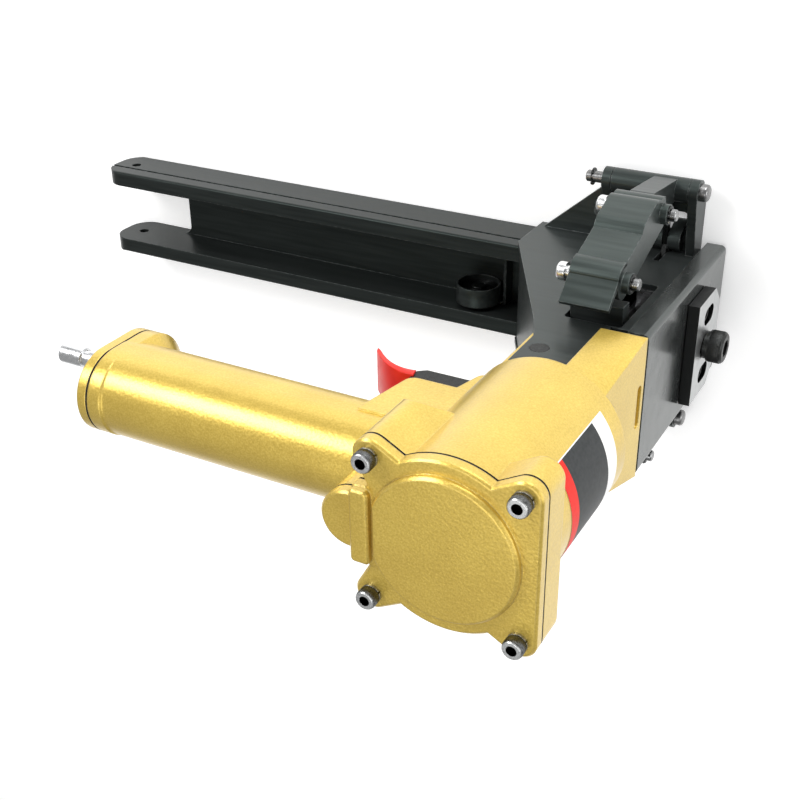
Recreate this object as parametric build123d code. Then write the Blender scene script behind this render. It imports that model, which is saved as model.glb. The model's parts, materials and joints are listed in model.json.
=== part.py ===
"""Pneumatic carton stapler, standing on its foot.

X points to the front of the tool, Y to its left, Z up. The origin is on the base plane under the
cylinder axis, which is also the driver's line. Sizes are millimetres.
"""

from build123d import *
import math
import os

# Fits shared by all pieces
seat_gap = 0.1          # radial or face gap between pieces that are fastened together
run_gap = 0.3           # gap between pieces that move past each other
shaft_gap = 0.05        # radial gap of a shaft or pin in its bore

# Cylinder and cap
cylinder_r = 37.0
shoulder_z = 168.0      # lower end of the round cylinder
bore_floor_z = 190.0
seam_z = 259.5          # top of the housing
liner_r = 32.0
liner_wall = 3.0
gasket_t = 1.0
screw_pitch = 64.0      # the four cap screws stand on a square
ear_r = 7.5
ear_t = 5.2
ear_root_share = 0.68  # an ear's web runs in to this share of the way to its screw
ear_root_r = 11.5
cap_round_r = 38.5
cap_disc_r = 32.4
cap_disc_rise = 3.0
cap_edge = 1.0          # cut edges of the cap, its disc and its bar
cap_disc_edge = 1.2
cap_bar_edge = 0.8
lobe_x = -42.0          # centre of the round air passage cover
lobe_r = 13.0
bar_x0 = -40.5          # raised bar between the cover and the disc
bar_x1 = -31.0
bar_half_y = 17.5
bar_corner_r = 2.0
bar_groove = 0.8        # groove between the bar and the disc
boss_high_z = 231.0     # the rear screws' long bosses are cut off slantwise between these heights
boss_low_z = 207.0
front_flange_h = 14.0   # the front screws stand in a short flange

# Cap screw, M5
m5_r = 2.5
m5_head_r = 4.25
m5_head_h = 5.0
m5_key = 4.0
cap_screw_len = 20.0
m5_hole_r = 2.75
lock_washer_t = 1.3
lock_washer_r = 4.4
lock_washer_slit = 0.8
lock_washer_turn = 30.0

# Handle, oval, with a deeper end that carries the air inlet
handle_z = 219.0
handle_half_y = 21.0
handle_half_z = 24.0
handle_flange_x = -179.0
handle_flange_cut = 9.0 # the deeper end's front edge is cut off slantwise
handle_end_x = -195.0
end_r = 20.7            # the end's outline is drawn around two rounds of this radius
end_low_z = 203.7
end_high_z = 223.3
end_cap_t = 6.5
end_cap_edge = 1.6
air_chamber_r = 14.0
air_chamber_z = 215.0
air_passage_r = 5.0
end_screw_zs = (236.0, 191.0)
end_screw_bite = 14.0   # thread length in the housing
m4_r = 2.0
m4_hole_r = 2.3
m4_head_r = 3.5
m4_head_h = 4.0
m4_key = 3.0

# Air plug
plug_z = 205.0
plug_key = 14.0
plug_hex_t = 9.0
plug_neck_r = 5.5
plug_neck_len = 14.0
plug_groove_len = 5.0
plug_groove_r = 4.0
plug_tip_r = 5.0
plug_tip_len = 14.0
plug_bore_r = 2.5
plug_thread_r = 6.5
plug_edge = 0.8

# Trigger block of the housing, trigger and valve
block_z = 184.0         # lower face of the block
block_half_y = 22.0
block_front_x = -25.0
block_rear_x = -58.0
block_root_x = -64.5    # where the block's rear face meets the handle
block_corner_r = 5.0
lug_foot_x = -38.0
lug_foot_len = 12.0
lug_foot_t = 4.0
trigger_x = -32.0       # pivot
trigger_z = 161.0
trigger_hub_r = 6.0
trigger_half_y = 10.0
trigger_wall = 2.5
trigger_low_z = 155.0
trigger_web_top = 171.0
trigger_web_x = -46.0   # front end of the web's straight top
trigger_rear_x = -69.0
trigger_pin_r = 2.0
trigger_lug_t = 4.5
trigger_heel_x = 4.0    # cut lower corner at the rear
trigger_heel_z = 3.0
trigger_web_run = 7.0   # slanted front end of the web's top
rivet_x = -60.0
rivet_z = 162.5
grip_tip_x = -96.0
grip_tip_z = 147.0
grip_t = 3.6            # thickness of the grip at its tip
grip_tip_run = 3.0
grip_side = 1.0         # the grip is wider than the lever by this on each side
grip_low_z = 159.0
grip_high_z = 172.0
grip_back_bow = 6.0     # how far its two faces bow up
grip_front_bow = 5.0
grip_tang_len = 14.0
valve_x = -49.0
valve_r = 7.0
valve_flange_r = 8.5
valve_flange_t = 2.5
valve_wall = 3.0
valve_seat_z = 188.0
valve_top_z = 205.0
stem_r = 2.5
stem_head_r = 4.2
stem_head_h = 4.0
valve_spring_wall = 1.2

# Piston and driver
stroke = 32.0
piston_r = liner_r - liner_wall - 0.1
piston_t = 14.0
piston_bottom_z = 236.0
piston_edge = 1.5
rod_r = 8.0
rod_tip_r = 5.0
nut_key = 16.0
nut_t = 6.0
rod_past_nut = 2.0
bumper_gap = 0.6
bumper_edge = 2.0
ring_depth = 2.2
ring_half_h = 1.4
blade_t = 2.4
blade_side_gap = 1.0    # the blade is narrower than the magazine's inside by this on each side
blade_bottom_z = 34.0
blade_seat = 18.0       # how deep the blade stands in the crosshead
channel_half_x = 1.5    # half the width of the slot that the blade and the claws work in

# Crosshead and clinch linkage, left side (mirrored to the right)
cross_x0 = -15.0
cross_x1 = 11.0
cross_bottom_z = 92.0
cross_top_z = 124.0
cross_edge = 3.0
cross_side_gap = 1.0
arm_root = 4.0          # how far an arm starts inside the crosshead
tongue_x0 = -8.0
tongue_x1 = 4.0
arm_half = 4.0          # half the height of the crosshead's arm
arm_eye_r = 5.6
arm_wide_y = 38.0       # the arm is as wide as the crosshead up to here
link_x0 = -14.0
link_x1 = 10.0
link_r = 8.3            # outer round of the link at its pins
link_web = 2.4
link_step = 3.0         # the link's lower part stands out by this
link_step_share = 0.6   # from this share of its length to this far before the knee pin
link_step_back = 7.0
link_overhang = 5.5     # how far the link goes on past the knee pin
link_boss_r = 5.0
link_boss_x = 13.5
guard_turn = 132.0      # degrees from +Y that the guard over the shoulder pin points to
guard_len = 18.8
link_turn = 38.39       # degrees that the link and the lever turn over the stroke
lever_turn = -38.91
pin_r = 3.0
pin_rear_x = -18.0      # under side of the link pins' heads
pin_front_x = 17.5
wing_pin_rear_x = -45.0
pin_head_r = 3.8
pin_head_len = 3.5
pin_groove_t = 1.2      # clip groove near a pin's plain end
pin_groove_depth = 0.8
hub_r = 6.3
lever_eye_r = 5.6
lever_wide_len = 22.0   # how far the lever is as wide as the link
lever_wide_r = 4.5
shoulder_y = 50.0       # crosshead pin
shoulder_pin_z = 105.0
knee_y = 67.0           # link to lever pin
knee_z = 56.0
wing_y = 65.0           # lever pivot on the wing
wing_z = 12.5
lever_hub_x0 = -30.0
lever_hub_x1 = 11.0
toe_y = 49.0
toe_heel = (-4.0, -5.0) # under side of the toe, from the lever's pivot
toe_drop = 4.0
toe_nose = 2.0
toe_back = (-2.0, 3.0)
claw_y = 36.5           # claw pivot
claw_z = 8.0
claw_outer_r = 18.5
claw_inner_r = 13.5
claw_hub_r = 5.0
claw_start = 150.0      # the claw's curved finger runs between these degrees about its pivot
claw_stop = 199.0
claw_inset = 0.3        # the web to the finger ends this far inside it
claw_web_top = (-2.0, 4.5)
claw_web_low = (-3.0, -3.0)
claw_web_z = 3.0
claw_tail_low = (1.0, -4.0)
claw_tail_top = (-1.0, 4.9)
claw_tail_half = 2.0    # half the length of the tail's rest over the toe
claw_tail_rise = 0.8
claw_tail_h = 4.0
claw_pin_r = 2.0
claw_lug_half_x = 8.0
claw_room_z = 26.0
claw_room_y = 47.0
claw_lug_wall = 1.0
claw_lug_spread = 4.0
claw_lug_foot = 2.0

# Nose
plate_t = 3.0
plate_rear_x = -74.0
plate_waist = (-28.0, 119.0)  # upper end of the plate's slanted rear edge, in (x, z)
plate_tab_x = -20.5
plate_tab_z = 136.0
plate_top_z = 164.0
plate_front_z = 112.0   # top of the part in front of the neck's step
arm_slot_rise = 19.0    # the arm's slot goes this far over and under the crosshead's lower face
arm_slot_drop = 3.0
arm_slot_gap = 1.2
arm_slot_corner = 2.0
plate_screw_x = -13.0
plate_screw_z = 147.0
neck_x0 = -24.0
neck_x1 = 8.0
neck_bottom_z = 127.0
neck_wall = 5.0
neck_flare_z = 150.0    # the neck widens to the cylinder's round from here
neck_corner = 44.5      # degrees from +X where a front corner runs out into the cylinder
neck_slot_y = 3.0
neck_slot_rise = 4.5
neck_slot_len = 22.0
neck_slot_w = 4.0
neck_slot_depth = 2.0
front_x = 30.0
front_t = 3.0
front_side_gap = 2.9    # between a side plate and the front plate's flange
front_top_z = 125.0
flange_depth = 10.0
front_low_z = 1.0
front_corner_r = 4.0
front_bend_r = 2.5
wing_t = 6.0
wing_front_x = 16.0
window_x0 = -42.0       # window in the wing
window_x1 = 9.5
window_y0 = 41.0
window_y1 = 51.0
wing_rear_x = -35.0
wing_end_gap = 1.2      # between the wing's outer edge and the lever's hub
wing_end_step = 2.0
wing_strut_run = 4.0
window_corner_r = 3.0
rear_lug_foot = 12.0
front_lug_foot = 8.0
back_plate_gap = 2.0    # over the magazine and in from the side plates' rear edge
back_plate_t = 8.0      # along the tool
back_plate_top = (4.0, 3.0)
guide_top_z = 58.0
guide_wall = 6.0
flat_head_r = 4.6       # countersunk M5 of the side frames
flat_head_h = 2.4
frame_screw_len = 10.0

# Depth plate on the front plate, with its guide screws and clamp screw
depth_x1 = 36.0
depth_half_y = 27.0
depth_z0 = 29.0
depth_z1 = 66.0
depth_cut = 10.0        # size of the cut lower corners
depth_travel = 3.0
depth_screw_y = 16.0
depth_screw_z = 47.5
depth_head_h = 4.5
depth_screw_len = 15.0
clamp_z = 48.5
clamp_r = 5.0
clamp_head_r = 8.0
clamp_head_h = 8.0
clamp_collar_r = 7.0
clamp_collar_t = 2.0
clamp_key = 8.0
clamp_bite = 8.0        # thread length behind the front plate

# Magazine
mag_half_y = 27.0
mag_h = 33.5
mag_rear_x = -364.0
mag_inner_half_y = 18.0
mag_web = 7.0
fork_x = -318.0
fork_pin_x = -350.0
fork_pin_r = 3.0
fork_tip_r = 13.0       # rounding of the fork's tips, seen from the side
fork_corner_r = 6.0
mag_groove_drop = 10.0  # the groove's line under the magazine's upper edge
mag_groove_depth = 0.8
mag_groove_w = 2.0
mag_corner_r = 1.5
pusher_front_x = -88.0
pusher_round_x = -103.0
pusher_top_z = 31.0
pusher_wall = 2.5
axle_r = 2.0
roll_half_y = 6.5
roll_gap = 0.6


# Small makers shared by the pieces

def block(x0, x1, y0, y1, z0, z1):
    centre = Pos((x0 + x1) / 2, (y0 + y1) / 2, (z0 + z1) / 2)
    return centre * Box(x1 - x0, y1 - y0, z1 - z0)


def polygon(*points):
    return make_face(Polyline(*points, close=True))


def along_x(sketch, x0, x1):
    """A sketch in (y, z), drawn out from x0 to x1."""
    return extrude(Plane.YZ.offset(x0) * sketch, amount=x1 - x0)


def along_y(sketch, y0, y1):
    """A sketch in (x, z), drawn out from y0 to y1."""
    plane = Plane(origin=(0, y1, 0), x_dir=(1, 0, 0), z_dir=(0, -1, 0))
    return extrude(plane * sketch, amount=y1 - y0)


def along_z(sketch, z0, z1):
    return extrude(Plane.XY.offset(z0) * sketch, amount=z1 - z0)


def bar_x(y, z, r, x0, x1):
    return along_x(Pos(y, z) * Circle(r), x0, x1)


def bar_y(x, z, r, y0, y1):
    return along_y(Pos(x, z) * Circle(r), y0, y1)


def bar_z(x, y, r, z0, z1):
    return along_z(Pos(x, y) * Circle(r), z0, z1)


def hull(*sketches):
    edges = ShapeList()
    for sketch in sketches:
        edges += sketch.edges()
    return make_hull(edges)


def both_sides(piece):
    return piece + mirror(piece, about=Plane.XZ)


def hexagon(across_flats):
    return RegularPolygon(across_flats / 2, 6, major_radius=False)


def socket_screw(shank_r, shank_len, head_r, head_h, key):
    """Socket head screw along +Z, with the under side of the head at the origin."""
    head = bar_z(0, 0, head_r, 0, head_h)
    head = chamfer(head.edges().group_by(Axis.Z)[-1], head_r * 0.12)
    screw = head + bar_z(0, 0, shank_r, -shank_len, 0)
    return screw - along_z(hexagon(key), head_h / 2, head_h)


half_pitch = screw_pitch / 2
cap_bottom_z = seam_z + gasket_t
ear_top_z = cap_bottom_z + ear_t
screw_places = [(x, y) for x in (-half_pitch, half_pitch) for y in (-half_pitch, half_pitch)]
cap_screw_end_z = ear_top_z + lock_washer_t - cap_screw_len
piston_top_z = piston_bottom_z + piston_t
bumper_top_z = piston_bottom_z - stroke - run_gap
plate_inner_y = mag_half_y + seat_gap
plate_outer_y = plate_inner_y + plate_t
front_half_y = plate_outer_y + front_side_gap + front_t
blade_half_y = mag_inner_half_y - blade_side_gap
pusher_half_y = mag_inner_half_y - 2 * run_gap
bumper_r = liner_r - liner_wall - bumper_gap
depth_screw_end_x = front_x - depth_screw_len
shoulder = (shoulder_y, shoulder_pin_z)
knee = (knee_y, knee_z)
wing = (wing_y, wing_z)
stroke_shares = (0, 0.15, 0.3, 0.45, 0.6, 0.75, 0.9)
clamp_end_x = front_x - front_t - clamp_bite


# Cylinder end: housing, gasket and cap share one outline

def ear_web(x, y):
    root = Pos(x * ear_root_share, y * ear_root_share) * Circle(ear_root_r)
    return hull(Pos(x, y) * Circle(ear_r), root)


def lobe_outline():
    bar = Pos((bar_x0 + bar_x1) / 2, 0) * RectangleRounded(bar_x1 - bar_x0, 2 * bar_half_y, bar_corner_r)
    join = Pos(lobe_x / 2, 0) * Rectangle(-lobe_x, 2 * lobe_r)
    return Pos(lobe_x, 0) * Circle(lobe_r) + join + bar


def cap_outline():
    outline = Circle(cap_round_r) + lobe_outline()
    for x, y in screw_places:
        outline += ear_web(x, y)
    front_edge_x = half_pitch + ear_r
    outline += Pos(front_edge_x / 2, 0) * Rectangle(front_edge_x, screw_pitch)
    return outline


def cylinder_cap():
    top_z = ear_top_z + cap_disc_rise
    body = along_z(cap_outline(), cap_bottom_z, ear_top_z)
    body = chamfer(body.edges().group_by(Axis.Z)[-1], cap_edge)
    disc = bar_z(0, 0, cap_disc_r, cap_bottom_z, top_z)
    disc -= block(-2 * cap_disc_r, bar_x1 + bar_groove, -cap_disc_r, cap_disc_r, ear_top_z, top_z)
    disc = chamfer(disc.edges().group_by(Axis.Z)[-1], cap_disc_edge)
    bar_size = (bar_x1 - bar_x0 - cap_edge, 2 * bar_half_y - cap_edge)
    bar_face = Pos((bar_x0 + bar_x1) / 2, 0) * RectangleRounded(*bar_size, bar_corner_r)
    bar = along_z(bar_face, cap_bottom_z, top_z)
    bar = chamfer(bar.edges().group_by(Axis.Z)[-1], cap_bar_edge)
    cap = body + disc + bar
    cap -= bar_z(0, 0, liner_r - liner_wall, cap_bottom_z, ear_top_z)
    for x, y in screw_places:
        cap -= bar_z(x, y, m5_hole_r, cap_bottom_z, ear_top_z)
    return cap


def cap_gasket():
    sheet = cap_outline() - Circle(liner_r + seat_gap)
    for x, y in screw_places:
        sheet -= Pos(x, y) * Circle(m5_hole_r)
    return along_z(sheet, seam_z, cap_bottom_z)


def cap_screws():
    head_z = ear_top_z + lock_washer_t
    screw = socket_screw(m5_r, cap_screw_len, m5_head_r, m5_head_h, m5_key)
    return [Pos(x, y, head_z) * screw for x, y in screw_places]


def cap_lock_washers():
    ring = Circle(lock_washer_r) - Circle(m5_hole_r)
    slit = Rot(0, 0, lock_washer_turn) * Pos(lock_washer_r, 0) * Rectangle(2 * lock_washer_r, lock_washer_slit)
    washer = along_z(ring - slit, 0, lock_washer_t)
    return [Pos(x, y, ear_top_z) * washer for x, y in screw_places]


# Main housing

def end_outline():
    """Outline of the handle's end, in (y, z)."""
    return hull(Pos(0, end_high_z) * Circle(end_r), Pos(0, end_low_z) * Circle(end_r))


def end_screw_places():
    return [(0, z) for z in end_screw_zs]


def handle_body():
    rise = handle_half_z - handle_half_y
    side_round = Circle(handle_half_y)
    grip = hull(Pos(0, handle_z - rise) * side_round, Pos(0, handle_z + rise) * side_round)
    deep = along_x(end_outline(), handle_end_x, handle_flange_x)
    deep = chamfer(deep.edges().group_by(Axis.X)[-1], handle_flange_cut)
    return along_x(grip, handle_end_x, 0) + deep


def neck_front():
    """Left half of the neck's front: square below, and running out into the cylinder's round above."""
    def round_at(degrees):
        return (cylinder_r * math.cos(math.radians(degrees)), cylinder_r * math.sin(math.radians(degrees)))

    side_turn = math.degrees(math.acos(neck_x1 / cylinder_r))
    corner = round_at(neck_corner)
    side = round_at(side_turn)
    low = polygon((neck_x1, 0), (front_x, 0), (front_x, front_half_y), (neck_x1, front_half_y))
    high = make_face([
        Line((neck_x1, 0), (corner[0], 0)),
        Line((corner[0], 0), corner),
        ThreePointArc(corner, round_at((neck_corner + side_turn) / 2), side),
        Line(side, (neck_x1, 0)),
    ])
    return loft([Plane.XY.offset(neck_bottom_z) * low, Plane.XY.offset(shoulder_z) * high], ruled=True)


def neck_body():
    core = block(neck_x0, neck_x1, -mag_half_y, mag_half_y, neck_bottom_z, shoulder_z)
    flare = Cone(mag_half_y, cylinder_r, shoulder_z - neck_flare_z)
    flare = Pos(0, 0, (neck_flare_z + shoulder_z) / 2) * flare
    flare &= block(neck_x0, cylinder_r, -mag_half_y, mag_half_y, neck_flare_z, shoulder_z)
    slot = Pos(neck_slot_y, neck_bottom_z + neck_slot_rise) * SlotOverall(neck_slot_len, neck_slot_w)
    hollow = block(neck_x0 + neck_wall, front_x - 2 * neck_wall, neck_wall - mag_half_y, mag_half_y - neck_wall,
                   neck_bottom_z, shoulder_z - 2 * neck_wall)
    return core + both_sides(neck_front()) + flare - along_x(slot, front_x - neck_slot_depth, front_x) - hollow


def trigger_block():
    face = polygon((block_root_x, handle_z), (block_rear_x, block_z), (block_front_x, block_z),
                   (block_front_x, handle_z))
    face = fillet(face.vertices().group_by(Axis.Y)[0].sort_by(Axis.X)[0], block_corner_r)
    body = along_y(face, -block_half_y, block_half_y)
    lug_in = trigger_half_y + 2 * run_gap
    lug_out = lug_in + trigger_lug_t
    foot = Pos(lug_foot_x, block_z + lug_foot_t / 2) * Rectangle(lug_foot_len, lug_foot_t)
    lug = along_y(hull(Pos(trigger_x, trigger_z) * Circle(trigger_hub_r), foot), lug_in, lug_out)
    return body + both_sides(lug)


def rear_boss(x, y):
    """Long boss of a rear cap screw, cut off slantwise down to the trigger block."""
    side = 1 if y > 0 else -1
    boss = along_z(ear_web(x, y), boss_low_z, seam_z)
    outer_y = side * (half_pitch + ear_r)
    slant = polygon((outer_y, boss_low_z), (outer_y, boss_high_z), (side * block_half_y, boss_low_z))
    return boss - along_x(slant, x - 2 * ear_r, 0)


def main_housing():
    body = bar_z(0, 0, cylinder_r, shoulder_z, seam_z)
    front_edge_x = half_pitch + ear_r
    flange = Pos(front_edge_x / 2, 0) * Rectangle(front_edge_x, screw_pitch)
    for x, y in screw_places:
        if x < 0:
            body += rear_boss(x, y)
        else:
            flange += ear_web(x, y)
    body += along_z(flange, seam_z - front_flange_h, seam_z)
    body += along_z(lobe_outline(), handle_z, seam_z)
    body += handle_body()
    body += trigger_block()
    body += neck_body()
    body -= bar_z(0, 0, liner_r + seat_gap, bore_floor_z, seam_z)
    body -= bar_z(0, 0, rod_r + shaft_gap, neck_bottom_z, bore_floor_z)
    body -= bar_x(0, air_chamber_z, air_chamber_r, handle_end_x, lobe_x)
    body -= bar_z(lobe_x, 0, air_passage_r, air_chamber_z, seam_z)
    body -= bar_z(valve_x, 0, valve_r + seat_gap, block_z - 1, valve_top_z + seat_gap)
    body -= bar_y(trigger_x, trigger_z, trigger_pin_r + shaft_gap, -block_half_y, block_half_y)
    for x, y in screw_places:
        body -= bar_z(x, y, m5_r + shaft_gap, cap_screw_end_z - 1, seam_z)
    for y, z in end_screw_places():
        body -= bar_x(y, z, m4_r + shaft_gap, handle_end_x, handle_end_x + end_screw_bite + 1)
    for x, z in plate_screw_places():
        body -= both_sides(bar_y(x, z, m5_r + shaft_gap, plate_outer_y - frame_screw_len - 1, mag_half_y))
    return body


# Handle end

def handle_end_cap():
    outer_x = handle_end_x - gasket_t - end_cap_t
    cap = along_x(end_outline(), outer_x, handle_end_x - gasket_t)
    cap = chamfer(cap.edges().group_by(Axis.X)[0], end_cap_edge)
    cap -= bar_x(0, plug_z, plug_thread_r + seat_gap, outer_x, handle_end_x - gasket_t)
    for y, z in end_screw_places():
        cap -= bar_x(y, z, m4_hole_r, outer_x, handle_end_x - gasket_t)
        cap -= bar_x(y, z, m4_head_r + run_gap, outer_x, outer_x + m4_head_h)
    return cap


def end_cap_gasket():
    sheet = end_outline() - Pos(0, air_chamber_z) * Circle(air_chamber_r + 1)
    sheet -= Pos(0, plug_z) * Circle(plug_thread_r + 1)
    for y, z in end_screw_places():
        sheet -= Pos(y, z) * Circle(m4_hole_r)
    return along_x(sheet, handle_end_x - gasket_t, handle_end_x)


def end_cap_screws():
    head_x = handle_end_x - gasket_t - end_cap_t + m4_head_h
    screw = socket_screw(m4_r, handle_end_x + end_screw_bite - head_x, m4_head_r, m4_head_h, m4_key)
    return [Pos(head_x, y, z) * Rot(0, -90, 0) * screw for y, z in end_screw_places()]


def air_plug():
    face_x = handle_end_x - gasket_t - end_cap_t
    hex_x = face_x - plug_hex_t
    neck_x = hex_x - plug_neck_len
    groove_x = neck_x - plug_groove_len
    tip_x = groove_x - plug_tip_len
    plug = bar_x(0, plug_z, plug_thread_r, face_x, face_x + end_cap_t)
    head = along_x(Pos(0, plug_z) * hexagon(plug_key), hex_x, face_x)
    plug += chamfer(head.edges().group_by(Axis.X)[0], plug_edge)
    plug += bar_x(0, plug_z, plug_neck_r, neck_x, hex_x)
    plug += bar_x(0, plug_z, plug_groove_r, groove_x, neck_x)
    tip = bar_x(0, plug_z, plug_tip_r, tip_x, groove_x)
    plug += chamfer(tip.edges().group_by(Axis.X)[0], plug_edge)
    return plug - bar_x(0, plug_z, plug_bore_r, tip_x, face_x + end_cap_t)


# Trigger and valve

def trigger_lever():
    """Folded lever, open below, that turns between the block's lugs."""
    hub_top_z = trigger_z + trigger_hub_r
    side = polygon((trigger_x, trigger_z - trigger_hub_r), (trigger_rear_x + trigger_heel_x, trigger_low_z),
                   (trigger_rear_x, trigger_low_z + trigger_heel_z), (trigger_rear_x, trigger_web_top),
                   (trigger_web_x, trigger_web_top), (trigger_web_x + trigger_web_run, hub_top_z),
                   (trigger_x, hub_top_z))
    side += Pos(trigger_x, trigger_z) * Circle(trigger_hub_r)
    body = along_y(side, -trigger_half_y, trigger_half_y)
    inner_y = trigger_half_y - trigger_wall
    front_x1 = trigger_x + trigger_hub_r
    under_web_z = trigger_web_top - trigger_wall
    body -= block(trigger_rear_x, trigger_web_x, -inner_y, inner_y, trigger_low_z, under_web_z)
    body -= block(trigger_web_x, front_x1, -inner_y, inner_y, trigger_low_z, trigger_web_top)
    body -= bar_y(trigger_x, trigger_z, trigger_pin_r + shaft_gap, -trigger_half_y, trigger_half_y)
    return body - bar_y(rivet_x, rivet_z, trigger_pin_r + shaft_gap, -trigger_half_y, trigger_half_y)


def trigger_grip():
    """Curved finger piece behind the lever, with a tang between the lever's walls."""
    rear_x = trigger_rear_x - seat_gap
    tip = Vector(grip_tip_x, grip_tip_z)
    under = tip + Vector(grip_tip_run, grip_tip_run - grip_t - grip_side)
    top = Vector(rear_x, grip_high_z)
    low = Vector(rear_x, grip_low_z)
    edge = [
        Line(low, top),
        ThreePointArc(top, (top + tip) / 2 + Vector(0, grip_back_bow), tip),
        Line(tip, under),
        ThreePointArc(under, (low + under) / 2 + Vector(0, grip_front_bow), low),
    ]
    half_y = trigger_half_y + grip_side
    blade = along_y(make_face(edge), -half_y, half_y)
    inner_y = trigger_half_y - trigger_wall - seat_gap
    tang_top_z = trigger_web_top - trigger_wall - seat_gap
    tang = block(rear_x, rear_x + grip_tang_len, -inner_y, inner_y, grip_low_z + grip_side, tang_top_z)
    return blade + tang - bar_y(rivet_x, rivet_z, trigger_pin_r + shaft_gap, -inner_y, inner_y)


def trigger_rivet():
    return bar_y(rivet_x, rivet_z, trigger_pin_r, -trigger_half_y, trigger_half_y)


def trigger_pin():
    end_y = trigger_half_y + 2 * run_gap + trigger_lug_t
    return bar_y(trigger_x, trigger_z, trigger_pin_r, -end_y, end_y)


def trigger_valve_body():
    flange_z = block_z - valve_flange_t - seat_gap
    body = bar_z(valve_x, 0, valve_r, flange_z, valve_top_z)
    body += bar_z(valve_x, 0, valve_flange_r, flange_z, block_z - seat_gap)
    body -= bar_z(valve_x, 0, stem_head_r + 2 * run_gap, valve_seat_z, valve_top_z - valve_wall)
    return body - bar_z(valve_x, 0, stem_r + shaft_gap, flange_z, valve_seat_z)


def trigger_valve_stem():
    head_z = valve_seat_z + seat_gap
    stem = bar_z(valve_x, 0, stem_r, trigger_web_top + run_gap, head_z + stem_head_h)
    return stem + bar_z(valve_x, 0, stem_head_r, head_z, head_z + stem_head_h)


def trigger_valve_spring():
    """The valve's hidden coil spring, drawn as a plain sleeve."""
    sleeve = Circle(stem_head_r) - Circle(stem_head_r - valve_spring_wall)
    low_z = valve_seat_z + stem_head_h + 2 * seat_gap
    return along_z(Pos(valve_x, 0) * sleeve, low_z, valve_top_z - valve_wall - seat_gap)


# Piston group

def cylinder_liner():
    return along_z(Circle(liner_r) - Circle(liner_r - liner_wall), bore_floor_z, seam_z)


def bumper():
    ring = along_z(Circle(bumper_r) - Circle(rod_r + 1), bore_floor_z, bumper_top_z)
    return chamfer(ring.edges().group_by(Axis.Z)[-1], bumper_edge)


def piston():
    body = bar_z(0, 0, piston_r, piston_bottom_z, piston_top_z)
    body = chamfer(body.edges().group_by(Axis.Z)[-1], piston_edge)
    groove = Circle(piston_r + 1) - Circle(piston_r - ring_depth)
    mid_z = piston_bottom_z + piston_t / 2
    half = ring_half_h + seat_gap
    body -= along_z(groove, mid_z - half, mid_z + half)
    return body - bar_z(0, 0, rod_tip_r + shaft_gap, piston_bottom_z, piston_top_z)


def piston_ring():
    outer_r = liner_r - liner_wall - shaft_gap
    mid_z = piston_bottom_z + piston_t / 2
    ring = Circle(outer_r) - Circle(outer_r - ring_depth)
    return along_z(ring, mid_z - ring_half_h, mid_z + ring_half_h)


def piston_rod():
    rod = bar_z(0, 0, rod_r, cross_top_z, piston_bottom_z)
    return rod + bar_z(0, 0, rod_tip_r, piston_bottom_z, piston_top_z + nut_t + rod_past_nut)


def piston_nut():
    return along_z(hexagon(nut_key) - Circle(rod_tip_r + shaft_gap), piston_top_z, piston_top_z + nut_t)


def crosshead():
    side_y = plate_inner_y - cross_side_gap
    body = block(cross_x0, cross_x1, -side_y, side_y, cross_bottom_z, cross_top_z)
    body = chamfer(body.edges().filter_by(Axis.X), cross_edge)
    root = Pos(side_y - arm_root, cross_bottom_z + 2 * arm_half) * Rectangle(arm_root, 2 * arm_half)
    bar = hull(root, Pos(*shoulder) * Circle(arm_half))
    wide = Pos(arm_wide_y / 2, shoulder_pin_z) * Rectangle(arm_wide_y, 8 * arm_half)
    arm = along_x(bar & wide, cross_x0, cross_x1)
    arm += along_x(bar + Pos(*shoulder) * Circle(arm_eye_r), tongue_x0, tongue_x1)
    arm -= bar_x(*shoulder, pin_r + shaft_gap, tongue_x0, tongue_x1)
    body += both_sides(arm)
    slot_half = blade_t / 2 + shaft_gap
    slot_y = blade_half_y + shaft_gap
    return body - block(-slot_half, slot_half, -slot_y, slot_y, cross_bottom_z, cross_bottom_z + blade_seat)


def cross_pin(y, z, head_x, end_x):
    """A pin from the under side of its round head to its plain end, with a clip groove near that end."""
    way = 1 if end_x > head_x else -1
    head_end_x = head_x - way * pin_head_len
    groove_x = end_x - way * 3 * pin_groove_t
    head = bar_x(y, z, pin_head_r, min(head_x, head_end_x), max(head_x, head_end_x))
    outer = head.edges().group_by(Axis.X)[0 if way > 0 else -1]
    pin = fillet(outer, pin_head_len / 2) + bar_x(y, z, pin_r, min(head_x, end_x), max(head_x, end_x))
    groove = Pos(y, z) * (Circle(2 * pin_r) - Circle(pin_r - pin_groove_depth))
    return pin - along_x(groove, groove_x - pin_groove_t / 2, groove_x + pin_groove_t / 2)


def crosshead_pins():
    pin = cross_pin(*shoulder, pin_rear_x, pin_front_x)
    return [pin, mirror(pin, about=Plane.XZ)]


def driver_blade():
    top_z = cross_bottom_z + blade_seat - seat_gap
    return block(-blade_t / 2, blade_t / 2, -blade_half_y, blade_half_y, blade_bottom_z, top_z)


# Clinch linkage, left side

def turned(point, centre, degrees):
    """A point in (y, z), turned about a centre."""
    angle = math.radians(degrees)
    y = point[0] - centre[0]
    z = point[1] - centre[1]
    return (centre[0] + y * math.cos(angle) - z * math.sin(angle),
            centre[1] + y * math.sin(angle) + z * math.cos(angle))


def knee_in_lever(share):
    """Where the knee pin is in the lever after that share of the stroke."""
    y, z = turned(knee, shoulder, share * link_turn)
    return turned((y, z - share * stroke), wing, -share * lever_turn)


def lever_in_link(point, share):
    """Where a point of the lever is in the link after that share of the stroke."""
    y, z = turned(point, wing, share * lever_turn)
    return turned((y, z + share * stroke), shoulder, -share * link_turn)


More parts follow.
